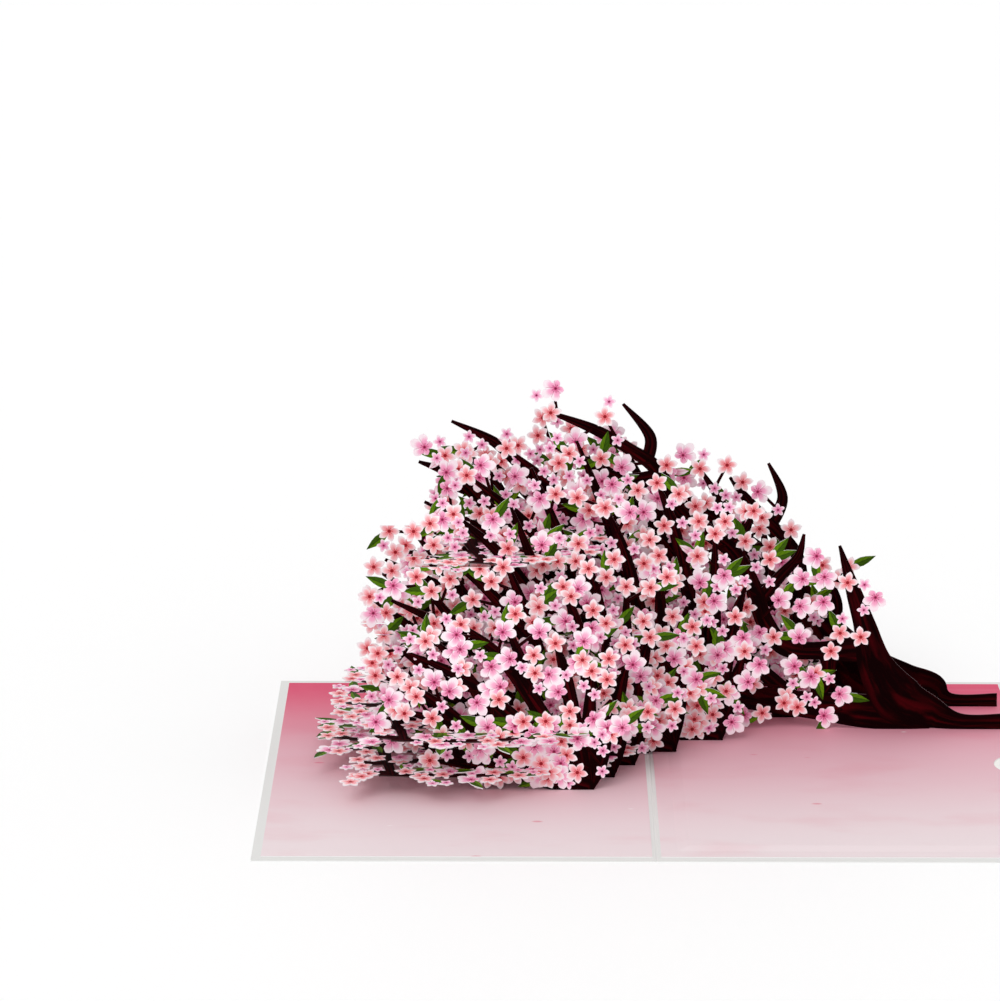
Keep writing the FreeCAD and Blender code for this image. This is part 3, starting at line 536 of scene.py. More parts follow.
def petal_frame(recipe):
    """Radius, turn within a petal from -1 to 1, and turn round a blossom."""
    x, y = recipe.print_place()
    radius = recipe.maths("SQRT", x * x + y * y)
    turn = recipe.maths("ARCTAN2", y, x)
    half_petal = math.pi / PETAL_COUNT
    within = recipe.maths("WRAP", turn, half_petal, -half_petal) / half_petal
    return radius, within, turn


def blossom_material(kind, inks, eye):
    """A five petalled blossom: pale rims, a deeper heart, fine veins and stamens."""
    rim, body, heart = inks
    eye_size, heart_reach, rim_width = BLOSSOM_LOOKS[kind]
    recipe = Finish("slice_" + kind)
    radius, within, turn = petal_frame(recipe)
    tint = recipe.tint()
    side = abs(within)
    veins = recipe.maths("COSINE", turn * (7.0 * PETAL_COUNT))
    # Each petal is cupped: the side that lies under its neighbour is deeper
    shade = recipe.smooth(within, 0.2, 1.0) * (1.0 - recipe.smooth(radius, 0.7, 1.0))
    colour = recipe.mix((0.3 + 0.3 * tint) * shade, body, heart)
    # The heart's colour runs out along the middle of each petal
    reach = heart_reach * (1.0 - 0.6 * side) * (0.85 + 0.3 * tint) + 0.05 * veins
    flush = 1.0 - recipe.smooth(radius, 0.08, reach)
    colour = recipe.mix(0.92 * flush, colour, heart)
    # The pale rim follows each petal's outline, and its lap over the next petal
    rim_at = 0.90 - 0.28 * side * side + 0.03 * veins
    pale = recipe.smooth(radius, rim_at - rim_width, rim_at)
    colour = recipe.mix(pale, colour, rim)
    lap = recipe.smooth(0.0 - within, 0.62, 0.86) * recipe.smooth(radius, 0.3, 0.55)
    colour = recipe.mix(0.75 * lap, colour, rim)
    parting = recipe.smooth(within, 0.84, 0.96) * (1.0 - recipe.smooth(radius, 0.6, 0.85))
    colour = recipe.mix(0.6 * parting, colour, scaled(heart, 0.75))
    # A ring of stamens, two to a petal, round the eye
    ring = 1.0 - recipe.smooth(abs(radius - 0.27), 0.0, 0.06)
    dots = recipe.smooth(recipe.maths("COSINE", turn * (2.0 * PETAL_COUNT) + 1.3), 0.35, 0.8)
    colour = recipe.mix(0.75 * ring * dots, colour, eye)
    colour = recipe.mix(1.0 - recipe.smooth(radius, eye_size * 0.6, eye_size), colour, eye)
    return recipe.on_paper(colour)


def limb_material(name, bark, light):
    """Printed bark: nearly black, with long dark red streaks."""
    recipe = Finish(name, BARK_SHINE)
    along, across = recipe.print_place()
    place = recipe.node("ShaderNodeCombineXYZ", None, {"X": along * 0.36, "Y": across * 1.5})
    grain = recipe.noise(place, 1.3, 2.0)
    fine = recipe.noise(place, 4.0, 3.0)
    band = 1.0 - recipe.smooth(abs(across - 0.25), 0.1, 0.75)
    streak = recipe.smooth(grain, 0.46, 0.68) * (0.35 + 0.65 * band)
    colour = recipe.mix(streak, bark, light)
    colour = recipe.mix(0.16 * recipe.smooth(fine, 0.55, 0.75), colour, scaled(light, 1.4))
    return recipe.on_paper(colour)


def leaf_material(name, dark, light):
    """A leaf with a dark midrib, side veins and one lit half."""
    recipe = Finish(name, LEAF_SHINE)
    along, across = recipe.print_place()
    tint = recipe.tint()
    side = abs(across)
    half = recipe.smooth(across, -0.25, 0.35)
    ripple = recipe.maths("SINE", (along * 5.0 - side * 1.4) * FULL_TURN)
    veins = recipe.smooth(ripple, 0.4, 1.0)
    colour = recipe.mix(0.25 + 0.6 * half, dark, light)
    colour = recipe.mix(0.5 * tint, colour, dark)
    colour = recipe.mix(0.35 * veins, colour, scaled(dark, 0.55))
    rib = 1.0 - recipe.smooth(side, 0.03, 0.16)
    colour = recipe.mix(0.7 * rib, colour, scaled(dark, 0.45))
    return recipe.on_paper(colour)


def bud_material(name, rim, heart, green):
    """A closed bud: pink, deeper at its base, in a green cup."""
    recipe = Finish(name)
    along, across = recipe.print_place()
    colour = recipe.mix(recipe.smooth(along, 0.2, 0.9), heart, rim)
    crease = 1.0 - recipe.smooth(abs(across - 0.15), 0.02, 0.22)
    colour = recipe.mix(0.5 * crease, colour, heart)
    cup = 1.0 - recipe.smooth(along + 0.12 * abs(across), 0.26, 0.34)
    colour = recipe.mix(cup, colour, green)
    return recipe.on_paper(colour)


def liner_material(name, inks):
    """Liner print: deep pink at the back, fading to a pale blush, with drifting petals."""
    recipe = Finish(name)
    place = recipe.object_place()
    _x, y, _z = recipe.parts(place)
    low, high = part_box("left_liner")
    soft = recipe.noise(place, 14.0, 3.0) - 0.5
    depth = (y - low.y) / (high.y - low.y) + 0.05 * soft
    colour = recipe.mix(recipe.smooth(depth, 0.0, 0.74), inks.liner_front, inks.liner_middle)
    colour = recipe.mix(recipe.smooth(depth, 0.56, 1.02), colour, inks.liner_back)
    # Soft clouds of darker ink, and a few petals blown across the sheet
    haze = recipe.stretched(place, 0.7, 1.6, 1.0)
    cloud = recipe.smooth(recipe.noise(haze, 30.0, 4.0), 0.5, 0.75)
    colour = recipe.mix(0.12 * cloud, colour, inks.liner_back)
    drift = recipe.stretched(place, 1.0, 2.2, 1.0)
    spread = {"Vector": drift, "Scale": DRIFTING_PETALS}
    cells = recipe.node("ShaderNodeTexVoronoi", None, spread)
    chosen = recipe.node("ShaderNodeTexVoronoi", None, spread, output=1)
    red, green, _blue = recipe.parts(chosen)
    petal = (1.0 - recipe.smooth(cells, 0.06, 0.13)) * recipe.smooth(red, 0.86, 0.88)
    colour = recipe.mix(0.5 * petal, colour, inks.liner_back)
    fleck = (1.0 - recipe.smooth(cells, 0.03, 0.08)) * recipe.smooth(green, 0.88, 0.9)
    colour = recipe.mix(0.6 * fleck * (1.0 - petal), colour, FLECK)
    # The cut edge of the sheet is bare paper
    normal = recipe.node("ShaderNodeNewGeometry", output=1)
    _nx, _ny, up = recipe.parts(normal)
    colour = recipe.mix(recipe.smooth(up, 0.4, 0.6), CUT_EDGE, colour)
    return recipe.on_paper(colour)


# Die lines, drawn as on the solids

def spline(points, steps):
    """Points on a smooth curve through (x, y, half width) points."""
    line = []
    last = len(points) - 1
    for i in range(last):
        a = points[max(i - 1, 0)]
        b = points[i]
        c = points[i + 1]
        d = points[min(i + 2, last)]
        for k in range(steps):
            f = k / steps
            line.append(tuple(
                0.5 * (2 * q + (r - p) * f + (2 * p - 5 * q + 4 * r - o) * f * f
                       + (3 * q - p - 3 * r + o) * f ** 3)
                for p, q, r, o in zip(a, b, c, d)))
    line.append(points[last])
    return line


def ribbon(line):
    """Outline of a limb that narrows to its tip."""
    left = []
    right = []
    for i, (x, y, half) in enumerate(line):
        before = line[max(i - 1, 0)]
        after = line[min(i + 1, len(line) - 1)]
        run = math.hypot(after[0] - before[0], after[1] - before[1])
        nx = -(after[1] - before[1]) / run
        ny = (after[0] - before[0]) / run
        left.append((x + nx * half, y + ny * half))
        right.append((x - nx * half, y - ny * half))
    return left + right[::-1]


def sides(loop):
    """The sides of a closed loop, each as its two ends."""
    return zip(loop, loop[1:] + loop[:1])


def turned_area(outline):
    """Area of an outline, positive where it turns left."""
    return sum(x0 * y1 - x1 * y0 for (x0, y0), (x1, y1) in sides(outline)) / 2


class Print:
    """One printed shape: its outline, its ink, and the frame in which the ink is drawn."""

    def __init__(self, ink, outline, place, rank, tint):
        self.ink = ink
        self.outline = outline if turned_area(outline) > 0 else outline[::-1]
        self.place = place
        self.rank = rank
        self.tint = tint


def spot_frame(x, y, long, wide, turn):
    """Frame of a shape at (x, y) that points along turn."""
    cos_t, sin_t = math.cos(turn), math.sin(turn)

    def place(points):
        dx, dy = points[:, 0] - x, points[:, 1] - y
        return np.stack([(dx * cos_t + dy * sin_t) / long,
                         (dy * cos_t - dx * sin_t) / wide], 1)

    return place


def line_frame(line):
    """Frame of a limb: centimetres along it, and -1 to 1 across it."""
    points = np.array(line)
    start, end = points[:-1], points[1:]
    run = end[:, :2] - start[:, :2]
    length = np.maximum(np.hypot(run[:, 0], run[:, 1]), LEAST_RUN)
    walked = np.concatenate([[0.0], np.cumsum(length)])[:-1]

    def place(at):
        offset = at[:, None, :] - start[None, :, :2]
        share = np.clip((offset * run).sum(2) / length ** 2, 0, 1)
        foot = offset - share[:, :, None] * run
        nearest = np.hypot(foot[..., 0], foot[..., 1]).argmin(1)
        row = np.arange(len(at))
        f = share[row, nearest]
        side = (run[nearest, 0] * offset[row, nearest, 1]
                - run[nearest, 1] * offset[row, nearest, 0]) / length[nearest]
        half = np.maximum(start[nearest, 2] * (1 - f) + end[nearest, 2] * f, LEAST_HALF_WIDTH)
        return np.stack([(walked[nearest] + f * length[nearest]) / MM_PER_CM, side / half], 1)

    return place


def blossom(kind, x, y, radius, turn, chance):
    """A printed blossom."""
    outline = []
    for k, length in enumerate(PETAL_LENGTHS[kind]):
        for offset, share in PETALS[kind]:
            angle = turn + k * FULL_TURN / PETAL_COUNT + offset
            reach = radius * share * length
            outline.append((x + reach * math.cos(angle), y + reach * math.sin(angle)))
    back = HEART_SHIFT[kind] * radius
    heart = spot_frame(x - back * math.cos(turn), y - back * math.sin(turn), radius, radius, turn)
    rank = BLOSSOM_RANKS[kind] + BLOSSOM_RANK_SPREAD * chance.random()
    return Print(kind, outline, heart, rank, chance.random())


def pointed(kind, x, y, length, width, turn, rank, chance):
    """A leaf or a bud that starts at (x, y)."""
    side = LEAF_SIDE if kind == "leaf" else BUD_SIDE
    loop = list(side) + [(along, -out) for along, out in side[-2:0:-1]]
    if side[0][1] > 0:
        loop.append((side[0][0], -side[0][1]))
    cos_t, sin_t = math.cos(turn), math.sin(turn)
    outline = [(x + along * length * cos_t - out * width * sin_t,
                y + along * length * sin_t + out * width * cos_t) for along, out in loop]
    return Print(kind, outline, spot_frame(x, y, length, width / 2, turn), rank, chance.random())


def limb(line, rank):
    """A printed limb or twig."""
    return Print("limb", ribbon(line), line_frame(line), rank, PLAIN_TINT)


class Sprigs:
    """Twigs, blossoms and leaves by the solids' own draws, and what the print adds."""

    def __init__(self, node, up, seed, pitch, longest, floor):
        low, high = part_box(node)
        self.low = (low.x / MM, getattr(low, up) / MM)
        self.high = (high.x / MM, getattr(high, up) / MM)
        self.rng = random.Random(seed)
        self.chance = random.Random(seed + PRINT_SEED)
        self.pitch = pitch
        self.longest = longest
        self.floor = floor
        sizes = bpy.context.scene.card_sizes
        self.radius = {"large_blossom": sizes.large / MM / 2,
                       "coral_blossom": sizes.coral / MM / 2,
                       "small_blossom": sizes.small / MM / 2}
        self.leaf_length = sizes.leaf_length / MM
        self.leaf_width = sizes.leaf_width / MM
        self.twig_width = sizes.twig_width / MM
        self.spots = []
        self.twig_ends = []

    def whole(self, kind, x, y, turn):
        """A blossom that doesn't reach below the floor."""
        radius = self.radius[kind]
        y = max(y, self.floor + radius)
        self.spots.append((x, y, radius))
        return blossom(kind, x, y, radius, turn, self.chance)

    def inside(self, shape):
        """Whether a printed shape stays within the sheet's solid, end to end."""
        return all(low <= min(values) and max(values) <= high
                   for values, low, high in zip(zip(*shape.outline), self.low, self.high))

    def kept(self, kind, x, y, turn):
        """A blossom in a list if it stays within the sheet's solid, or else no blossom."""
        shape = self.whole(kind, x, y, turn)
        if self.inside(shape):
            return [shape]
        self.spots.pop()
        return []

    def apart(self, x, y, radius):
        """Gap to the nearest blossom so far, less than nothing where it is too near."""
        spots = np.array(self.spots)
        far = np.hypot(spots[:, 0] - x, spots[:, 1] - y)
        return (far - EXTRA_SPACING * (spots[:, 2] + radius)).min()

    def over_foot(self, foot_x):
        """Blossoms over the foot from which a fan spreads."""
        chance = self.chance
        prints = []
        for _draw in range(FOOT_DRAWS):
            kind = chance.choice(FOOT_KINDS)
            radius = self.radius[kind]
            x = foot_x + chance.uniform(-FOOT_SPREAD, FOOT_SPREAD)
            y = self.floor + radius + chance.uniform(0, FOOT_RISE)
            if self.apart(x, y, radius) > 0:
                prints += self.kept(kind, x, y, chance.uniform(0, FULL_TURN))
        return prints

    def filled(self, lines):
        """Further blossoms in the gaps near the twigs' ends, drawn for the print alone."""
        chance = self.chance
        on_limbs = np.array([point for line in lines for point in line])
        prints = []
        for end_x, end_y in self.twig_ends * EXTRA_BLOSSOMS:
            kind = chance.choice(EXTRA_KINDS)
            radius = self.radius[kind]
            for _try in range(EXTRA_TRIES):
                turn = chance.uniform(0, FULL_TURN)
                gap = chance.uniform(radius, EXTRA_REACH)
                x = end_x + gap * math.cos(turn)
                y = max(end_y + gap * math.sin(turn), self.floor + radius)
                off_limb = np.hypot(on_limbs[:, 0] - x, on_limbs[:, 1] - y)
                if (0 < self.apart(x, y, radius) < EXTRA_SLACK * radius
                        and (off_limb > on_limbs[:, 2] + LIMB_SPACING * radius).all()):
                    prints += self.kept(kind, x, y, turn)
                    break
        return prints

    def along(self, line, start, bare_end):
        """Twigs left and right along a limb by turns, and a blossom at its end."""
        prints = []
        side = 1
        walked = 0.0
        due = start
        stop = sum(math.dist(a[:2], b[:2]) for a, b in zip(line, line[1:]))
        if bare_end:
            stop -= BARE_TIP
        for (x0, y0, _w0), (x1, y1, _w1) in zip(line, line[1:]):
            run = math.hypot(x1 - x0, y1 - y0)
            while due <= min(walked + run, stop):
                f = (due - walked) / run
                prints += self.twig(x0 + (x1 - x0) * f, y0 + (y1 - y0) * f,
                                    math.atan2(y1 - y0, x1 - x0), side)
                side = -side
                due += self.pitch * self.rng.uniform(*PITCH_SHARE)
            walked += run
        if not bare_end:
            x, y, _width = line[-1]
            prints.append(self.whole("coral_blossom", x, y, self.rng.uniform(0, FULL_TURN)))
        return prints

    def twig(self, x, y, limb_turn, side):
        """A twig that turns off a limb, with its blossoms and leaves."""
        rng = self.rng
        turn = limb_turn + side * rng.uniform(*TWIG_TURN)
        reach = self.longest * rng.uniform(*TWIG_SHARE)
        kind = rng.choice(TWIG_KINDS)
        end_x = x + reach * math.cos(turn)
        end_y = max(y + reach * math.sin(turn), self.floor + self.radius[kind])
        half = self.twig_width / 2
        prints = [limb([(x, y, half), (end_x, end_y, TWIG_TAPER * half)], TWIG_RANK),
                  self.whole(kind, end_x, end_y, rng.uniform(0, FULL_TURN))]
        if rng.random() < SECOND_CHANCE:
            kind = rng.choice(SECOND_KINDS)
            part = rng.uniform(*SECOND_SHARE)
            prints.append(self.whole(kind, x + (end_x - x) * part, y + (end_y - y) * part,
                                     rng.uniform(0, FULL_TURN)))
        if rng.random() < LEAF_CHANCE:
            length = self.leaf_length + self.radius["small_blossom"]
            prints.append(pointed("leaf", end_x, end_y, length, self.leaf_width,
                                  turn + rng.uniform(*LEAF_TURN), LEAF_RANK, self.chance))
        self.twig_ends.append((end_x, end_y))
        return prints + self.print_only(end_x, end_y, turn)

    def print_only(self, end_x, end_y, turn):
        """What the print adds at a twig's end: a leaf or a bud."""
        chance = self.chance
        prints = []
        if chance.random() < MORE_LEAF_CHANCE:
            prints.append(pointed("leaf", end_x, end_y, MORE_LEAF_LENGTH * self.leaf_length,
                                  self.leaf_width, turn + chance.uniform(*MORE_LEAF_TURN),
                                  MORE_LEAF_RANK, chance))
        if chance.random() < BUD_CHANCE:
            prints.append(pointed("bud", end_x, end_y, BUD_LENGTH, BUD_WIDTH,
                                  turn + chance.uniform(*BUD_TURN), BUD_RANK, chance))
        return [shape for shape in prints if self.inside(shape)]


def squared(share):
    """Fill out an oval towards its corners."""
    return math.copysign(abs(share) ** CROWN_SQUARENESS, share)


def fan(left, right, low, high, foot_x, foot_y, inset):
    """Control points of limbs that spread from a foot to a crown that falls to its right."""
    limbs = []
    half_x = (right - left) / 2 - inset
    half_y = (high - low) / 2 - inset
    for number, degrees in enumerate(FAN_ENDS):
        angle = math.radians(degrees)
        share = squared(math.cos(angle))
        rise = half_y * (1 + squared(math.sin(angle))) * (1 - CROWN_FALL * max(0.0, share))
        tip_x = (left + right) / 2 + half_x * share
        tip_y = low + inset + rise
        run_x = tip_x - foot_x
        run_y = tip_y - foot_y
        (lean, lift), (curl_lean, curl_lift) = FAN_BENDS[number % 2]
        back_step = FAN_LAP / math.hypot(run_x, run_y)
        limbs.append(([
            (foot_x - back_step * run_x, foot_y - back_step * run_y, FAN_HALF_WIDTH),
            (foot_x + lean * run_x, foot_y + lift * run_y, FAN_BEND_HALF_WIDTH),
            (foot_x + curl_lean * run_x, foot_y + curl_lift * run_y, FAN_CURL_HALF_WIDTH),
            (tip_x, tip_y, TIP_HALF_WIDTH)], FAN_STEPS))
    return limbs


def ribs(left, right, front, back, inset):
    """Control points of a level slice's stem, and its ribs between the upright slices."""
    half = (back - front) / 2
    middle = (back + front) / 2
    stem_x = left + STEM_SHARE * (right - left)
    limbs = [([(stem_x + STEM_BOW, front + inset / 2, STEM_END_HALF_WIDTH),
               (stem_x - STEM_BOW, middle, STEM_HALF_WIDTH),
               (stem_x + STEM_BOW, back - inset / 2, STEM_END_HALF_WIDTH)], STEM_STEPS)]
    y = UPRIGHT_FIRST - UPRIGHT_PITCH / 2
    number = 0
    while y < back:
        if y > front:
            width = math.sqrt(max(0.0, 1 - ((y - middle) / half) ** 2))
            reach_x = (right - left) / 2 * width
            mid_x = (left + right) / 2
            bow = RIB_BOW if number % 2 else -RIB_BOW
            right_x = max(mid_x + reach_x - inset, stem_x + RIGHT_RIB_SPAN * inset)
            left_x = min(mid_x - reach_x + inset, stem_x - LEFT_RIB_SPAN * inset)
            limbs.append(([(stem_x - RIB_LAP, y, RIB_HALF_WIDTH),
                           ((stem_x + right_x) / 2, y + bow, RIB_BEND_HALF_WIDTH),
                           (right_x, y - bow, TIP_HALF_WIDTH)], RIB_STEPS))
            limbs.append(([(stem_x + RIB_LAP, y, RIB_HALF_WIDTH),
                           ((stem_x + left_x) / 2, y - bow, RIB_BEND_HALF_WIDTH),
                           (left_x, y + bow, TIP_HALF_WIDTH)], RIB_STEPS))
        y += UPRIGHT_PITCH
        number += 1
    return limbs


def trunk(limbs, root, root_start):
    """Control points of a trunk sheet's limbs, its root strip first."""
    rise = TREE_HEIGHT / DRAWN_HEIGHT
    lines = []
    for number, (points, steps, _bare, _bare_end) in enumerate(limbs):
        line = [(x, height * rise, half) for x, height, half in points]
        if number == 0:
            base = RIGHT_TOP + root
            line = [(ROOT_END, base, root), (root_start, base, root)] + line
        lines.append((line, steps))
    return lines


def rectangle(x0, y0, x1, y1):
    """Outline of a rectangle, turning left."""
    return [(x0, y0), (x1, y0), (x1, y1), (x0, y1)]


def depth_of(number):
    """Y of an upright slice."""
    return UPRIGHT_FIRST + number * UPRIGHT_PITCH


def crossing(upright, level):
    """X at which the slots of an upright and a level slice meet."""
    left = max(upright.left, level.left)
    right = min(upright.right, level.right)
    return left + SLOT_SHARE * (right - left)


def crosses(number, level):
    """Whether an upright and a level slice come near enough to need slots."""
    sizes = bpy.context.scene.card_sizes
    fringe = (sizes.level_reach + sizes.large / 2) / MM
    return (level.height < UPRIGHT[number].top + sizes.twig_reach / MM
            and level.front - fringe < depth_of(number) < level.back + fringe)


def printed_limbs(limbs, sprigs, growth):
    """The limbs of a slice with what grows along each of them."""
    lines = [spline(points, PRINT_STEPS * steps) for points, steps in limbs]
    prints = [limb(line, LIMB_RANK_STEP * number) for number, line in enumerate(lines)]
    for (points, steps), grown in zip(limbs, growth):
        if grown is not None:
            prints += sprigs.along(spline(points, steps), *grown)
    return prints + sprigs.filled(lines)


def upright_prints(number, row):
    """Printed shapes and voids of an upright slice, in X and Z."""
    sizes = bpy.context.scene.card_sizes
    seat = LEFT_TOP if row.foot < 0 else RIGHT_TOP
    sprigs = Sprigs(row.name, "z", UPRIGHT_SEED + number, sizes.spray_pitch / MM,
                    sizes.twig_reach / MM, seat)
    if row.name in TRUNKS:
        table, root_start, root_share = TRUNKS[row.name]
        limbs = trunk(table, root_share * ROOT_HEIGHT / 2, root_start)
        prints = printed_limbs(limbs, sprigs, [entry[2:] for entry in table])
    else:
        limbs = fan(row.left, row.right, seat, row.top, row.foot, seat + FAN_FOOT_RISE,
                    sizes.large / MM / 2)
        growth = [(FAN_BARE + FAN_STAGGER * (index % POINTED_EVERY),
                   index % POINTED_EVERY == 1) for index in range(len(FAN_ENDS))]
        prints = printed_limbs(limbs, sprigs, growth) + sprigs.over_foot(row.foot)
    voids = [[(-REACH, -REACH), (REACH, -REACH), (REACH, RIGHT_TOP), (0, RIGHT_TOP),
              (0, LEFT_TOP), (-REACH, LEFT_TOP)]]
    for level in LEVEL:
        if crosses(number, level):
            voids.append(rectangle(-REACH, level.height - HALF_SLOT,
                                   crossing(row, level), level.height + HALF_SLOT))
    return prints, voids


def level_prints(number, row):
    """Printed shapes and voids of a level slice, in X and Y."""
    sizes = bpy.context.scene.card_sizes
    # A level slice has no floor within its own plane
    sprigs = Sprigs(row.name, "y", LEVEL_SEED + number, sizes.level_pitch / MM,
                    sizes.level_reach / MM, -REACH)
    limbs = ribs(row.left, row.right, row.front, row.back, sizes.large / MM / 2)
    growth = [None] + [(LEVEL_BARE, False)] * (len(limbs) - 1)
    prints = printed_limbs(limbs, sprigs, growth)
    voids = []
    for index, upright in enumerate(UPRIGHT):
        if crosses(index, row):
            voids.append(rectangle(crossing(upright, row), depth_of(index) - HALF_SLOT,
                                   REACH, depth_of(index) + HALF_SLOT))
    return prints, voids


# Sheets

def arranged(prints, voids):
    """Triangles of a sheet's die line, and the printed shape that shows in each."""
    outlines = [shape.outline for shape in prints] + voids
    corners, loops = [], []
    for outline in outlines:
        loops.append(list(range(len(corners), len(corners) + len(outline))))
        corners += [Vector(point) for point in outline]
    points, _edges, triangles, _from_corners, _from_edges, origin = delaunay_2d_cdt(
        corners, [], loops, INSIDE_ONLY, CORNER_REACH, True)
    count = len(prints)
    shown, owners = [], []
    for triangle, over in zip(triangles, origin):
        if not over or max(over) >= count:
            continue
        shown.append(list(triangle))
        owners.append(max(over, key=lambda i: prints[i].rank))
    return np.array([tuple(p) for p in points]), shown, owners


def one_sheet(triangles):
    """Numbers of the triangles that hang together in the largest piece."""
    beside = {}
    for number, triangle in enumerate(triangles):
        for a, b in sides(triangle):
            beside.setdefault((min(a, b), max(a, b)), []).append(number)
    links = [[] for _triangle in triangles]
    for pair in beside.values():
        if len(pair) == 2:
            links[pair[0]].append(pair[1])
            links[pair[1]].append(pair[0])
    group = [-1] * len(triangles)
    groups = []
    for first in range(len(triangles)):
        if group[first] >= 0:
            continue
        group[first] = len(groups)
        members = [first]
        for number in members:
            for other in links[number]:
                if group[other] < 0:
                    group[other] = len(groups)
                    members.append(other)
        groups.append(members)
    return max(groups, key=len)


def printed_corners(prints, points, triangles, owners, rim_count):
    """Each corner of the front and the back in its shape's own frame, and a plain rim."""
    corners = np.array(triangles)
    front = np.zeros((len(triangles), 3, 2))
    for number in np.unique(owners):
        mine = owners == number
        at = points[corners[mine].ravel()]
        front[mine] = prints[number].place(at).reshape(-1, 3, 2)
    rim = np.zeros((4 * rim_count, 2))
    return np.concatenate([front.reshape(-1, 2), front[:, ::-1].reshape(-1, 2), rim])


def sheet_mesh(name, prints, voids, place, materials):
    """A printed sheet: the print on both faces, and paper on its cut edge, dark along limbs."""
    points, triangles, owners = arranged(prints, voids)
    kept = one_sheet(triangles)
    owners = np.array([owners[i] for i in kept])
    used = sorted({corner for i in kept for corner in triangles[i]})
    renumber = {old: new for new, old in enumerate(used)}
    points = points[used]
    triangles = [[renumber[corner] for corner in triangles[i]] for i in kept]
    count = len(points)
    directed = {edge: owner for triangle, owner in zip(triangles, owners)
                for edge in sides(triangle)}
    rim = sorted((a, b) for a, b in directed if (b, a) not in directed)
    faces = [tuple(triangle) for triangle in triangles]
    faces += [tuple(corner + count for corner in reversed(triangle)) for triangle in triangles]
    faces += [(a, a + count, b + count, b) for a, b in rim]
    mesh = bpy.data.meshes.new(name)
    mesh.from_pydata([place(x, y, out) for out in (-SLICE_THICKNESS / 2, SLICE_THICKNESS / 2)
                      for x, y in points], [], faces)
    for material in materials:
        mesh.materials.append(material)
    inks = np.array([INKS.index(shape.ink) for shape in prints])
    rim_inks = [INKS.index("limb_edge" if prints[directed[edge]].ink == "limb" else "paper_edge")
                for edge in rim]
    face_inks = np.concatenate([inks[owners], inks[owners], rim_inks])
    mesh.polygons.foreach_set("material_index", face_inks.astype(np.int32))
    tints = np.array([shape.tint for shape in prints])
    face_tints = np.concatenate([tints[owners], tints[owners], np.full(len(rim), PLAIN_TINT)])
    mesh.attributes.new("tint", "FLOAT", "FACE").data.foreach_set("value", face_tints)
    layer = mesh.uv_layers.new(name="print")
    corners = printed_corners(prints, points, triangles, owners, len(rim))
    layer.data.foreach_set("uv", corners.ravel())
    mesh.update()
    mesh.validate()
    return mesh


def add_piece(name, mesh, node):
    """Put a finished mesh on the card in place of its solid."""
    piece = bpy.data.objects.new(name, mesh)
    bpy.context.scene.collection.objects.link(piece)
    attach(piece, "root")
    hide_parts(node)
    return piece


def ink_materials():
    """One material for each ink, made once and shared by the slices."""
    made = [bpy.data.materials.get("slice_" + name) for name in INKS]
    if all(made):
        return made
    inks = bpy.context.scene.card_inks
    return [
        paper_material("slice_paper_edge", inks.edge),
        paper_material("slice_limb_edge", inks.limb_edge),
        limb_material("slice_limb", inks.bark, inks.bark_light),
        leaf_material("slice_leaf", inks.leaf_dark, inks.leaf_light),
        blossom_material("large_blossom", (inks.pink_rim, inks.pink_body, inks.pink_heart),
                         inks.eye),
        blossom_material("coral_blossom", (inks.coral_rim, inks.coral_body, inks.coral_heart),
                         inks.coral_eye),
        blossom_material("small_blossom", (inks.small_rim, inks.small_body, inks.small_heart),
                         inks.eye),
        bud_material("slice_bud", inks.pink_rim, inks.pink_heart, inks.leaf_dark),
    ]


class CARD_OT_cut_uprights(bpy.types.Operator):
    """Die cut and print the upright slices."""

    bl_idname = "card.cut_uprights"
    bl_label = "Cut upright slices"

    def execute(self, context):
        for number, row in enumerate(UPRIGHT):
            prints, voids = upright_prints(number, row)
            depth = depth_of(number)

            def place(x, z, out, depth=depth):
                return (x * MM, (depth + out) * MM, z * MM)

            name = row.name + "_printed"
            mesh = sheet_mesh(name, prints, voids, place, ink_materials())
            add_piece(name, mesh, row.name)
        return {"FINISHED"}


class CARD_OT_cut_levels(bpy.types.Operator):
    """Die cut and print the level slices."""

    bl_idname = "card.cut_levels"
    bl_label = "Cut level slices"

    def execute(self, context):
        for number, row in enumerate(LEVEL):
            prints, voids = level_prints(number, row)

            def place(x, y, out, height=row.height):
                return (x * MM, y * MM, (height - out) * MM)

            name = row.name + "_printed"
            mesh = sheet_mesh(name, prints, voids, place, ink_materials())
            add_piece(name, mesh, row.name)
        return {"FINISHED"}


class CARD_OT_dress_panels(bpy.types.Operator):
    """Give the card, its liners and the note their paper and print."""

    bl_idname = "card.dress_panels"
    bl_label = "Dress panels"

    def execute(self, context):
        inks = context.scene.card_inks
        liner = liner_material("liner_print", inks)
        finishes = {"outer_card": paper_material("card_stock", inks.card),
                    "note_card": paper_material("note_stock", inks.note),
                    "left_liner": liner, "right_liner": liner}
        for node, material in finishes.items():
            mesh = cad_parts[node].data
            mesh.materials.clear()
            mesh.materials.append(material)
        return {"FINISHED"}


def sun_light(name, direction, strength, angle):
    """A soft distant lamp that shines along a direction."""
    lamp = bpy.data.lights.new(name, "SUN")
    lamp.energy = strength
    lamp.angle = angle
    light = bpy.data.objects.new(name, lamp)
    light.rotation_euler = Vector(direction).to_track_quat("-Z", "Y").to_euler()
    bpy.context.scene.collection.objects.link(light)


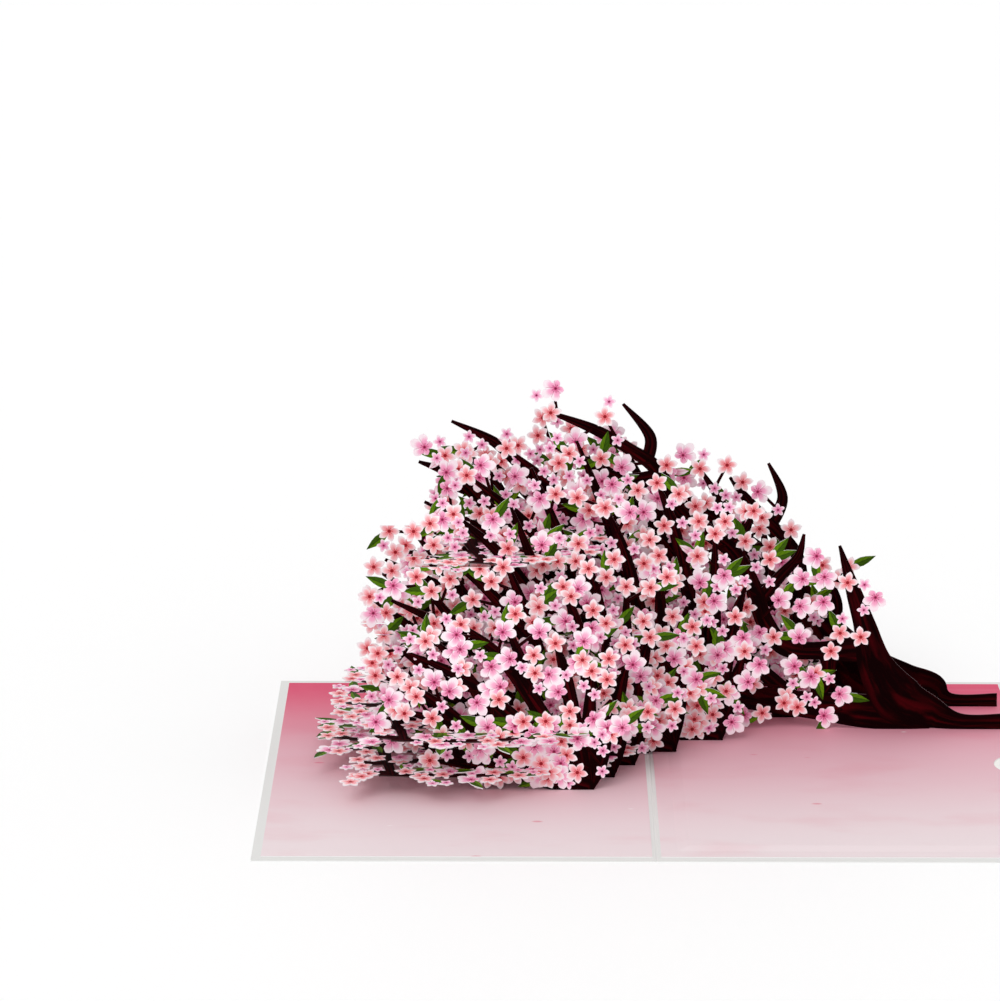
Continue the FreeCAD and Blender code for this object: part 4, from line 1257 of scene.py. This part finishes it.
def floor_material():
    """A pale floor that keeps the card's shadow and glows a little to the camera."""
    recipe = Finish("floor_pale")
    recipe.feed(recipe.shader, "Base Color", FLOOR_COLOUR)
    plain = Wire(recipe, recipe.shader.outputs[0])
    glow = recipe.node("ShaderNodeEmission", None, {"Strength": FLOOR_GLOW})
    both = recipe.node("ShaderNodeAddShader", None, {0: plain, 1: glow})
    shown = recipe.node("ShaderNodeMixShader", None, {0: recipe.seen(), 1: plain, 2: both})
    recipe.feed(recipe.tree.nodes["Material Output"], "Surface", shown)
    return recipe.material


def pale_room():
    """A room that lights the card softly and is white where the camera looks at it."""
    world = bpy.data.worlds.new("pale_room")
    world.use_nodes = True
    recipe = Recipe(world.node_tree)
    strength = recipe.node("ShaderNodeMapRange", None,
                           {"Value": recipe.seen(), "To Min": ROOM_LIGHT, "To Max": 1.0})
    background = recipe.tree.nodes["Background"]
    recipe.feed(background, "Color", (1.0, 1.0, 1.0, 1.0))
    recipe.feed(background, "Strength", strength)
    return world


class CARD_OT_set_stage(bpy.types.Operator):
    """Camera at the photograph's angle, pale floor and soft light."""

    bl_idname = "card.set_stage"
    bl_label = "Set stage"

    def execute(self, context):
        scene = context.scene
        camera_data = bpy.data.cameras.new("card_camera")
        camera_data.lens = CAMERA_LENS
        camera_data.sensor_width = SENSOR
        camera_data.clip_end = CAMERA_REACH
        camera = bpy.data.objects.new("card_camera", camera_data)
        camera.location = CAMERA_PLACE
        camera.rotation_euler = Vector(CAMERA_AIM).to_track_quat("-Z", "Y").to_euler()
        scene.collection.objects.link(camera)
        scene.camera = camera
        scene.view_settings.view_transform = "Standard"

        bpy.ops.object.select_all(action="DESELECT")
        bpy.ops.mesh.primitive_plane_add(size=FLOOR_SIZE, location=(0, 0, 0))
        floor = context.active_object
        floor.name = "floor"
        floor.data.materials.append(floor_material())
        sun_light("key", SUN_DIRECTION, SUN_STRENGTH, SUN_ANGLE)
        scene.world = pale_room()
        return {"FINISHED"}


class CARD_PT_pieces(bpy.types.Panel):
    """Lists the steps that make the card, and its sizes and colours."""

    bl_label = "Blossom card"
    bl_idname = "CARD_PT_pieces"
    bl_space_type = "VIEW_3D"
    bl_region_type = "UI"
    bl_category = "Card"

    def draw(self, context):
        layout = self.layout
        for step in STEPS:
            layout.operator(step.bl_idname)
        for group in (context.scene.card_sizes, context.scene.card_inks):
            for name in group.__annotations__:
                layout.prop(group, name)


STEPS = (CARD_OT_set_stage, CARD_OT_dress_panels, CARD_OT_cut_uprights, CARD_OT_cut_levels)
CLASSES = (BlossomSizes, CardColours) + STEPS + (CARD_PT_pieces,)


def register():
    """Make the operators and the properties known."""
    for item in CLASSES:
        bpy.utils.register_class(item)
    bpy.types.Scene.card_sizes = bpy.props.PointerProperty(type=BlossomSizes)
    bpy.types.Scene.card_inks = bpy.props.PointerProperty(type=CardColours)


def unregister():
    """Take the operators and the properties away again."""
    del bpy.types.Scene.card_sizes
    del bpy.types.Scene.card_inks
    for item in reversed(CLASSES):
        bpy.utils.unregister_class(item)


def main():
    """Build the whole card."""
    register()
    bpy.ops.card.set_stage()
    bpy.ops.card.dress_panels()
    bpy.ops.card.cut_uprights()
    bpy.ops.card.cut_levels()


if __name__ == "__main__":
    main()
